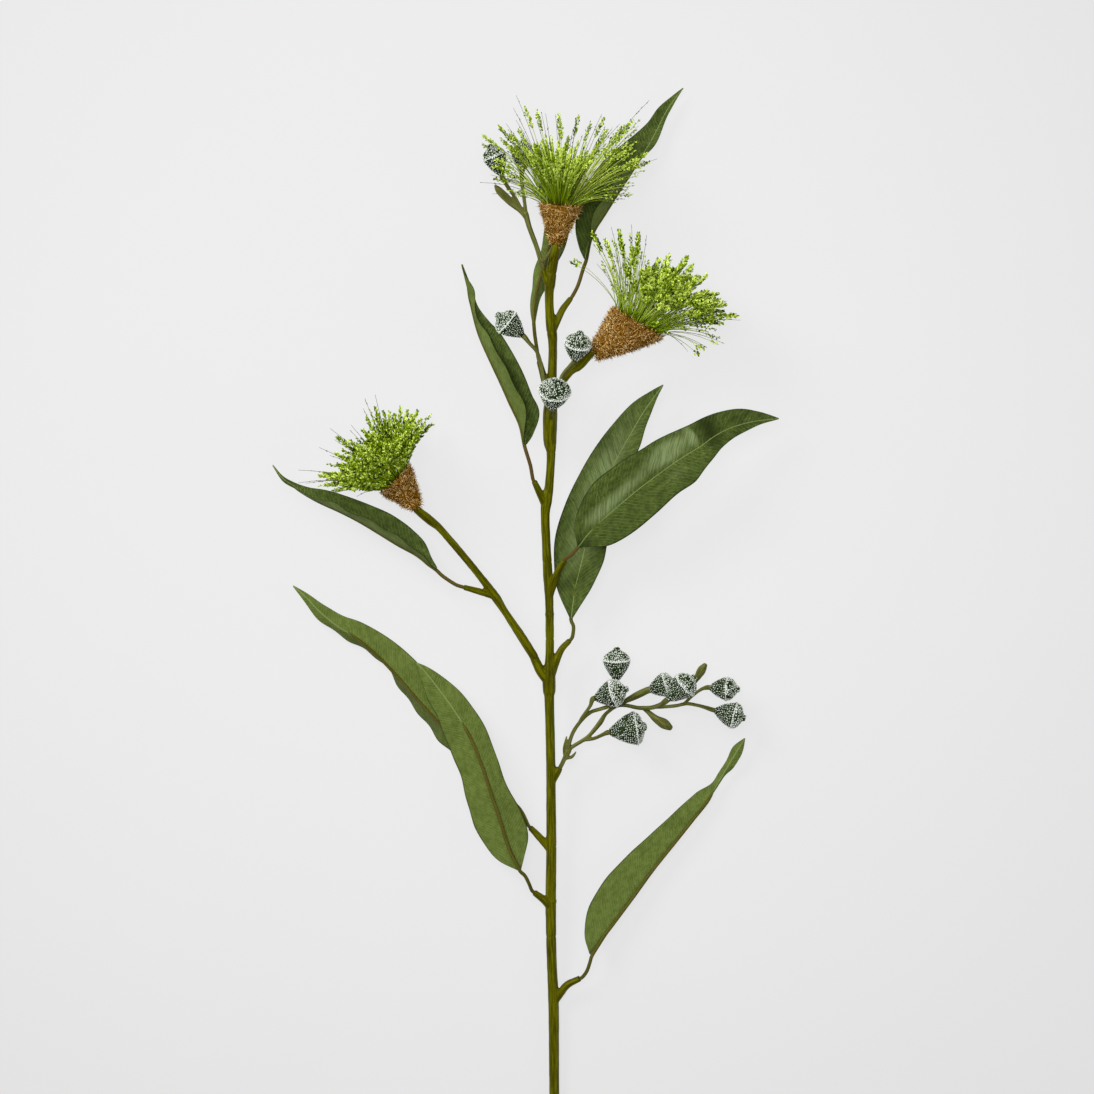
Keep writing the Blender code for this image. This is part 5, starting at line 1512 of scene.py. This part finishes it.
@dataclass
class Head:
    """A blossom's green filaments with their grains."""

    name: str
    outline: list[Row]
    kinds: list[Strands]
    seed: int
    reach_limit: float = 92.0
    clearance: float = 1.9
    bead_gaps: float = 0.15
    bare_grains: float = 0.25
    sides: int = 4
    steps: int = 8
    lifts: Row = (0.0, 0.35, 0.7, 1.05, 1.5, 2.1)
    lift_height: float = 26.0

    def obstacles(self) -> np.ndarray:
        """Points of the neighbouring solids, in working millimetres."""
        middle = np.array(CUPS[self.name][1], float)
        found = []
        for node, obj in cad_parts.items():
            if node.startswith("filaments_") or node == "cup_" + self.name:
                continue
            mesh = obj.data
            corners = np.empty(len(mesh.vertices) * 3)
            mesh.vertices.foreach_get("co", corners)
            corners = corners.reshape(-1, 3)
            edges = np.empty(len(mesh.edges) * 2, int)
            mesh.edges.foreach_get("vertices", edges)
            edges = edges.reshape(-1, 2)
            faces = np.array([list(f.center) for f in mesh.polygons])
            found.append(np.vstack([corners, corners[edges].mean(axis=1), faces]))
        places = np.vstack(found) / MM - SHIFT
        return places[np.linalg.norm(places - middle, axis=1) < self.reach_limit]

    def roof(self, gap: float) -> float:
        """The greatest height allowed, in working millimetres, this far below the solids' top."""
        return CAD_BOUNDS[1][2] / MM - SHIFT[2] - gap

    def build(self, finishes: Finishes) -> None:
        """Makes every strand of the head.

        Args:
            finishes: The finishes of the whole stem.
        """
        rng = np.random.default_rng(self.seed)
        middle, rim = np.array(CUPS[self.name][1], float), CUPS[self.name][2]
        mouth = unit(np.array(CUP_TURNS[self.name][1], float))
        obstacles = self.obstacles()
        builder = MeshBuilder()
        dome = np.array([(0.001, 0.0), (0.8, 0.0), (0.74, 0.1), (0.5, 0.22), (0.001, 0.3)]) * rim
        lathe(builder, middle + mouth * GAP, mouth, dome, 24, 0.1, 5, tint=0.12)
        table = np.array(self.outline)
        for kind in self.kinds:
            for i in range(kind.count):
                fan = kind.fan[0] + (kind.fan[1] - kind.fan[0]) * (i + rng.random()) / kind.count
                step = (i * GOLDEN_SHARE + rng.uniform(0, 0.15)) % 1.0
                rise = kind.rise[0] + (kind.rise[1] - kind.rise[0]) * step
                reach = np.interp(fan, table[:, 0], table[:, 1]) * rng.uniform(*kind.reach)
                a, e = math.radians(fan), math.radians(rise)
                aim = np.array([math.cos(e) * math.cos(a), math.cos(e) * math.sin(a), math.sin(e)])
                aside = aim - mouth * aim.dot(mouth)
                wide = float(np.linalg.norm(aside))
                root = (middle + rim * min(0.9, wide * 1.15) * rng.uniform(0.7, 1.0) * aside / max(wide, TINY)
                        + rng.normal(0, 0.5, 3))
                path = self.clear_path(root, middle, mouth, aim, reach, obstacles, kind.lump)
                if path is not None:
                    self.strand(builder, path, kind, rise, rng)
        piece = builder.build("filament_piece_" + self.name, [finishes.filament, finishes.hair])
        finish_piece(piece, "filament_plastic", "filaments_" + self.name)

    def clear_path(self, root: np.ndarray, middle: np.ndarray, mouth: np.ndarray, aim: np.ndarray,
                   reach: float, obstacles: np.ndarray, lump: float) -> np.ndarray | None:
        """A strand's curve, raised until it passes over what is in its way.

        Args:
            root: Where it leaves the cup.
            middle: Middle of the rim.
            mouth: Direction of the cup.
            aim: Direction of the strand's end.
            reach: Distance of its end from the middle of the rim.
            obstacles: Points of the neighbouring solids.
            lump: Radius of its beads.

        Returns:
            Points of the curve, or nothing where there is no way.
        """
        t = np.linspace(0, 1, self.steps)[:, None]
        for lift in self.lifts:
            end = middle + unit(aim + UP * (self.lift_height * lift / reach)) * reach
            knee = root + mouth * reach * 0.14 + (end - root) * 0.38
            path = (1 - t) ** 2 * root + 2 * t * (1 - t) * knee + t * t * end
            path[:, 2] = np.clip(path[:, 2], lump + 0.6, self.roof(0.4) - 2.2 * lump)
            apart = np.linalg.norm(path[2:, None, :] - obstacles[None], axis=2)
            if (apart > lump + self.clearance).all():
                return path
        return None

    def strand(self, builder: MeshBuilder, path: np.ndarray, kind: Strands, rise: float,
               rng: np.random.Generator) -> None:
        """Adds one filament with its grains.

        Args:
            builder: Takes the faces.
            path: Its curve.
            kind: What kind of filament it is.
            rise: Its slope; the lower ones get painted shade.
            rng: Source of its grains.
        """
        ahead, across, _, run = path_frames(path)
        length = run[-1]
        # painted shade: the lower a strand lies, the darker it is
        shade = kind.shade + rng.uniform(-0.18, 0.14) + 0.003 * min(rise, 30.0)
        bare = kind.grain is Grain.BARE
        first = length * (1 - kind.beaded)
        radii = np.interp(run / length, [0, 0.6, 1], [kind.stalk, kind.stalk * 0.85, kind.stalk * 0.5])
        # painted shade at the roots: each strand darker towards the cup
        if kind.grain is Grain.FINGER:
            radii = np.interp(run, [0, first, first + 3, length * 0.9, length],
                              [kind.stalk * 0.4, kind.stalk * 0.45, kind.stalk, kind.stalk * 0.85, 0.3])
            tone_with_root_shade = np.interp(run / length, [0, 0.4, 0.75, 1], [0.18, 0.24, 0.54, 0.8]) + shade
        else:
            tone_with_root_shade = np.interp(run / length, [0, 0.2, 0.6, 1], [0.28, 0.5, 0.62, 0.5]) + shade
        slot = 1 if bare else 0
        builder.tube(path, radii, self.sides, np.clip(tone_with_root_shade, 0, 1), slot)
        at = np.arange(first, length, kind.pitch)
        habit = HABITS[kind.grain]
        at = np.repeat(at, habit.together)
        at = np.clip(at + rng.uniform(-0.5, 0.5, len(at)) * kind.pitch, 0, length)
        if kind.grain is Grain.BEADED:
            at = at[rng.random(len(at)) > self.bead_gaps]
        if bare:
            at = at[rng.random(len(at)) < self.bare_grains]
        if not len(at):
            return
        centre, forward, sideways = [np.column_stack([np.interp(at, run, column) for column in rows.T])
                                     for rows in (path, ahead, across)]
        upward = np.cross(forward, sideways)
        turn = (np.arange(len(at)) * GOLDEN_TURN + rng.uniform(0, RANDOM_TURN)
                + rng.uniform(-0.5, 0.5, len(at)))
        out = np.cos(turn)[:, None] * sideways + np.sin(turn)[:, None] * upward
        share = (at - first) / max(length - first, TINY)
        swell = np.interp(share, [0, 0.2, 0.75, 1], [0.55, 1, 0.95, 0.45])
        size = kind.lump * (0.6 + 0.4 * swell) * rng.uniform(0.7, 1.15, len(at))
        offset = kind.spread * swell * rng.uniform(0.45, 1.1, len(at))
        along = units(forward + out * habit.lean * rng.uniform(0.3, 1.3, len(at))[:, None])
        second = units(np.cross(along, out), TINY)
        third = np.cross(along, second)
        axes = np.stack([along * (size * habit.long)[:, None],
                         second * (size * rng.uniform(0.5, 0.85, len(at)))[:, None],
                         third * (size * rng.uniform(0.45, 0.75, len(at)))[:, None]], axis=1)
        centre = centre + out * offset[:, None]
        tall = size * habit.long * 1.2
        centre[:, 2] = np.clip(centre[:, 2], tall + 0.1, self.roof(0.3) - tall)
        tip = np.interp(share, [0, 0.7, 1], [-0.06, 0.02, 0.14])
        # painted light and shade: grains on top of a strand lighter, grains underneath darker
        high = 0.12 * (out[:, 2] > 0.2) - 0.1 * (out[:, 2] < -0.3)
        tints = np.clip(rng.normal(0.42, 0.29, len(at)) + shade + tip + high, 0.0, 1.0)
        builder.lumps(centre, axes, tints, slot)


@dataclass
class Studio:
    """Pale floor, soft light and the camera that looks down on the stem."""

    height: float = 3.025
    frame_width: float = 0.7111
    focus_height: float = 0.025
    sensor: float = 36.0
    floor_glow: float = 0.73
    floor_reach: float = 4000.0
    # middle of the floor's painted pool of light, and the distances over which it falls off
    light_pool_middle: Row = (-60.0, 110.0)
    light_pool_fade: Row = (150.0, 800.0)
    surroundings: float = 0.1
    lights: tuple[tuple, ...] = (
        ("soft_light_above", (-0.2, 0.4, 3.2), 1.2, 67, False),
        ("soft_light_upper_left", (-1.5, 1.4, 1.9), 1.1, 58, True),
        ("soft_light_right", (1.9, -0.3, 1.6), 1.4, 11, True),
    )

    def floor(self) -> None:
        """The pale surface that the stem lies on; it glows, brightest in a painted pool of light about its
        middle.
        """
        n = Nodes("pale_floor")
        grain = n.noise(n.attribute("lie", "Vector"), 0.01, 2.0)
        x, y, _ = n.split(n.attribute("lie", "Vector"))
        # painted pool of light: the floor's emission is white about its middle and falls to 0.86 of it
        # farther out
        aside, ahead = [n.minus(value, middle) for value, middle in zip((x, y), self.light_pool_middle)]
        away = n.math("SQRT", n.plus(n.times(aside, aside), n.times(ahead, ahead)))
        n.set(Base_Color=n.mix(grain, (0.082, 0.082, 0.082), (0.088, 0.088, 0.088)), Roughness=1.0,
              Specular_IOR_Level=0.0, Emission_Strength=self.floor_glow,
              Emission_Color=n.mix(n.ramp(away, *self.light_pool_fade), (1.0, 1.0, 1.0), (0.86, 0.86, 0.86)))
        builder = MeshBuilder()
        reach = self.floor_reach
        corners = np.array([(-reach, -reach, 0), (reach, -reach, 0), (reach, reach, 0), (-reach, reach, 0)])
        builder.add(corners - SHIFT * (1, 1, 0), [np.array([[0, 1, 2, 3]])])
        builder.build("pale_floor", [n.material])

    def light(self, name: str, place: Row, size: float, power: float, shows: bool) -> None:
        """One soft square light aimed at the stem.

        Args:
            name: Its name.
            place: Where it stands, in metres.
            size: Its side, in metres.
            power: In watts.
            shows: Whether glossy places mirror it.
        """
        data = bpy.data.lights.new(name, "AREA")
        data.shape = "SQUARE"
        data.size = size
        data.energy = power
        lamp = bpy.data.objects.new(name, data)
        bpy.context.scene.collection.objects.link(lamp)
        lamp.visible_glossy = shows
        lamp.location = place
        lamp.rotation_mode = "QUATERNION"
        lamp.rotation_quaternion = (Vector(place) - Vector((0, 0.05, 0))).to_track_quat("Z", "Y")

    def build(self) -> None:
        """Sets the floor, the lights, the surroundings and the camera."""
        self.floor()
        for light in self.lights:
            self.light(*light)
        world = bpy.data.worlds.new("soft_surroundings")
        world.use_nodes = True
        world.node_tree.nodes["Background"].inputs["Color"].default_value = (1.0, 1.0, 1.0, 1.0)
        world.node_tree.nodes["Background"].inputs["Strength"].default_value = self.surroundings
        scene = bpy.context.scene
        scene.world = world
        scene.view_settings.view_transform = "Standard"
        camera = bpy.data.cameras.new("camera")
        camera.sensor_width = self.sensor
        camera.lens = self.sensor * (self.height - self.focus_height) / self.frame_width
        camera.clip_end = 50.0
        holder = bpy.data.objects.new("camera", camera)
        scene.collection.objects.link(holder)
        holder.location = (SHIFT[0] * MM, SHIFT[1] * MM, self.height)
        scene.camera = holder


# seams on the main stem: run, distance along it, width, height, stain
STEM_SEAMS = [
    (0, 203, 0.8, -0.25, 0.6), (0, 226, 1.2, 0.35, 0.2), (0, 262, 0.7, -0.2, 0.5),
    (0, 398, 0.7, -0.25, 0.7), (0, 414, 0.9, 0.3, 0.4), (0, 448, 0.6, -0.2, 0.5), (0, 520, 0.7, -0.25, 0.6),
    (0, 560, 0.7, -0.25, 0.6), (0, 598, 0.7, -0.2, 0.5), (0, 636, 0.7, -0.25, 0.6),
]


def stem_pieces(finishes: Finishes) -> None:
    """The main stem, the side branches and the sprays.

    Args:
        finishes: The finishes of the whole stem.
    """
    stem = seated([(x, y, stem_height(y), r) for x, y, r in STEM])
    runs = [stem] + [list(run) for run in STEM_SOCKETS.values()]
    Moulding("stem_piece", runs, 0.68, seams=STEM_SEAMS,
             shaded_socket_ends=list(range(1, len(runs)))).build(finishes.stem, "stem_plastic", "main_stem")
    left = seated(plugged(STEM_SOCKETS["branch_left"], BRANCH_LEFT))
    Moulding("branch_piece_left", [left] + [list(r) for r in BRANCH_LEFT_SOCKETS.values()], 0.6,
             shaded_socket_ends=[1]).build(finishes.stem, "stem_plastic", "branch_left")
    right = seated(plugged(STEM_SOCKETS["branch_right"], BRANCH_RIGHT))
    Moulding("branch_piece_right", [right], 0.6).build(finishes.stem, "stem_plastic", "branch_right")
    for name, runs in SPRAYS.items():
        shaped = [seated(list(run)) for run in runs]
        shaped[0] = plugged(STEM_SOCKETS["spray_" + name], runs[0])
        Moulding("twig_piece_" + name, shaped, 0.45, roughen=0.08, rounded=True).build(
            finishes.twig, "stem_plastic", "twigs_" + name)


# how far each head reaches in the lying plane: direction in degrees, distance in millimetres
OUTLINES = {
    "top": [(-5, 44), (8, 52), (16, 57), (24, 70), (32, 73), (40, 78), (48, 83), (56, 74), (62, 68), (72, 63),
            (84, 65), (98, 69), (108, 76), (120, 70), (132, 76), (140, 76), (148, 66), (156, 58), (164, 52),
            (175, 46)],
    "right": [(-30, 44), (-25, 47), (-20, 51), (-12, 58), (-3, 66), (8, 67), (16, 61), (24, 57), (37, 57),
              (47, 56), (57, 58), (66, 53), (74, 48), (82, 58), (88, 64), (94, 73), (100, 62), (108, 68),
              (113, 64), (118, 75), (123, 56), (132, 64)],
    "left": [(50, 44), (60, 55), (66, 56), (80, 49), (95, 50), (107, 54), (116, 53), (125, 47), (135, 45),
             (140, 47), (150, 50), (160, 53), (170, 57), (180, 57), (188, 50), (197, 36), (205, 28)],
}

# the strands of each head, in the order of the fields of Strands
# a negative last number on the short inner strands is painted shade in the gaps of the head
HEAD_KINDS = {
    "top": [
        Strands(Grain.FINGER, 112, (54, 126), (-20, 62), (0.46, 0.7), 0.46, 0.84, 0.8, 0.92, 0.66, 0.06),
        Strands(Grain.BEADED, 50, (20, 160), (-50, 75), (0.22, 0.42), 0.12, 0.9, 0.9, 1.0, 0.34, -0.12),
        Strands(Grain.EAR, 10, (24, 58), (-25, 45), (0.78, 1.0), 0.24, 0.85, 1.5, 1.15, 0.24, 0.04),
        Strands(Grain.EAR, 8, (58, 122), (-20, 40), (0.88, 1.0), 0.22, 0.82, 1.4, 1.15, 0.22, 0.04),
        Strands(Grain.EAR, 10, (122, 160), (-25, 45), (0.76, 1.0), 0.24, 0.85, 1.5, 1.15, 0.24, 0.04),
        Strands(Grain.EAR, 14, (40, 140), (48, 76), (0.84, 1.02), 0.26, 0.82, 1.3, 1.1, 0.24),
        Strands(Grain.BEADED, 62, (5, 58), (-30, 50), (0.5, 0.96), 0.2, 0.8, 1.0, 1.05, 0.22, 0.1),
        Strands(Grain.BEADED, 34, (122, 170), (-30, 50), (0.5, 0.94), 0.2, 0.8, 1.0, 1.05, 0.22, 0.1),
        Strands(Grain.BARE, 40, (5, 170), (-30, 50), (0.8, 1.12), 0.4, 0.5, 0.4, 1.6, 0.19),
    ],
    "right": [
        Strands(Grain.EAR, 46, (26, 80), (-35, 62), (0.62, 0.98), 0.42, 1.2, 2.0, 1.05, 0.32, 0.11),
        Strands(Grain.BEADED, 100, (-25, 126), (-55, 78), (0.2, 0.52), 0.12, 0.95, 0.9, 1.0, 0.32, -0.08),
        Strands(Grain.EAR, 16, (0, 26), (-30, 50), (0.76, 1.0), 0.36, 1.05, 1.6, 1.0),
        Strands(Grain.EAR, 6, (84, 120), (-15, 35), (0.86, 1.02), 0.26, 1.0, 1.6, 0.95, 0.26),
        Strands(Grain.EAR, 16, (10, 110), (50, 78), (0.98, 1.2), 0.34, 1.1, 1.8, 1.05, 0.3, 0.07),
        Strands(Grain.BEADED, 2, (133, 140), (8, 20), (0.9, 1.0), 0.14, 1.0, 1.2, 0.7, 0.2),
        Strands(Grain.BEADED, 36, (80, 124), (-30, 45), (0.5, 0.88), 0.14, 0.85, 0.9, 0.95, 0.25, 0.08),
        Strands(Grain.BEADED, 34, (-10, 30), (-30, 45), (0.5, 0.98), 0.24, 0.9, 1.1, 0.95, 0.25, 0.05),
        Strands(Grain.BEADED, 4, (-28, -16), (-10, 20), (0.85, 1.05), 0.14, 1.2, 1.4, 0.7, 0.2),
        Strands(Grain.BARE, 22, (-28, 128), (-30, 45), (0.8, 1.04), 0.4, 0.5, 0.4, 1.6, 0.19),
    ],
    "left": [
        Strands(Grain.EAR, 76, (58, 200), (-38, 62), (0.6, 1.0), 0.78, 1.22, 1.6, 1.5, 0.36, -0.03),
        Strands(Grain.BEADED, 60, (56, 200), (-50, 75), (0.25, 0.6), 0.5, 1.05, 1.1, 0.95, 0.32, -0.08),
        Strands(Grain.EAR, 16, (70, 190), (48, 76), (0.95, 1.15), 0.6, 1.1, 1.5, 1.3, 0.34),
        Strands(Grain.BEADED, 20, (60, 200), (-30, 50), (0.7, 1.0), 0.5, 1.0, 1.1, 0.95),
        Strands(Grain.BARE, 14, (100, 205), (-20, 30), (0.95, 1.2), 0.3, 0.5, 0.3, 1.6, 0.2),
    ],
}

# painted sheen (positive strength) and painted shade (negative strength) on leaves: share along, millimetres
# aside, how long, how wide, how strong
PAINTED_SHEENS_AND_SHADES = {
    "middle_right_front": [
        (0.17, -5.0, 0.12, 5.5, 0.58), (0.33, -6.0, 0.08, 5.0, 0.35), (0.52, -8.5, 0.11, 7.5, 0.78),
        (0.63, -9.0, 0.02, 8.0, 0.45), (0.5, 7.0, 0.1, 5.0, 0.3), (0.25, 6.0, 0.1, 5.0, 0.12),
        (0.7, -6.0, 0.035, 12.0, -0.4), (0.03, 0.0, 0.06, 12.0, -0.2), (0.5, 0.0, 0.8, 40.0, -0.15),
    ],
    "middle_right_back": [
        (0.55, -4.0, 0.3, 9.0, 0.34), (0.3, 0.0, 0.3, 20.0, 0.1), (0.12, 4.0, 0.1, 6.0, -0.2),
    ],
    "upper_left": [(0.4, 8.0, 0.16, 5.0, -0.25), (0.5, -6.0, 0.4, 4.0, 0.15)],
    "left": [(0.45, 7.0, 0.5, 6.0, -0.2), (0.5, -6.0, 0.5, 5.0, 0.28)],
}

# how brown a free stalk is, and how far the rib runs under a leaf
STALK_TINTS = {"upper_left": 1.0, "top_right": 0.8, "left": 0.75, "middle_right_front": 0.9}
UNDER_REACH = {"lower_left_front": 0.66}


def main() -> None:
    """Builds the whole scene, piece by piece."""
    logging.basicConfig(level=logging.INFO, format="%(message)s")
    finishes = Finishes.make()
    stem_pieces(finishes)
    sockets = {**STEM_SOCKETS, **BRANCH_LEFT_SOCKETS}
    for name, stations in BLADES.items():
        Leaf(name, stations, plugged(sockets[name], STALKS[name]), PAINTED_SHEENS_AND_SHADES.get(name, []),
             STALK_TINTS.get(name, 0.5), UNDER_REACH.get(name, 0.76)).build(finishes)
    for seed, (name, nut) in enumerate(NUTS.items()):
        Gumnut(name, *nut).build(finishes, seed)
    for seed, (name, (apex, middle, rim)) in enumerate(CUPS.items()):
        Cup(name, apex, middle, rim).build(finishes, seed)
    for seed, (name, kinds) in enumerate(HEAD_KINDS.items()):
        Head(name, OUTLINES[name], kinds, 100 + seed).build(finishes)
    Studio().build()


if __name__ == "__main__":
    main()
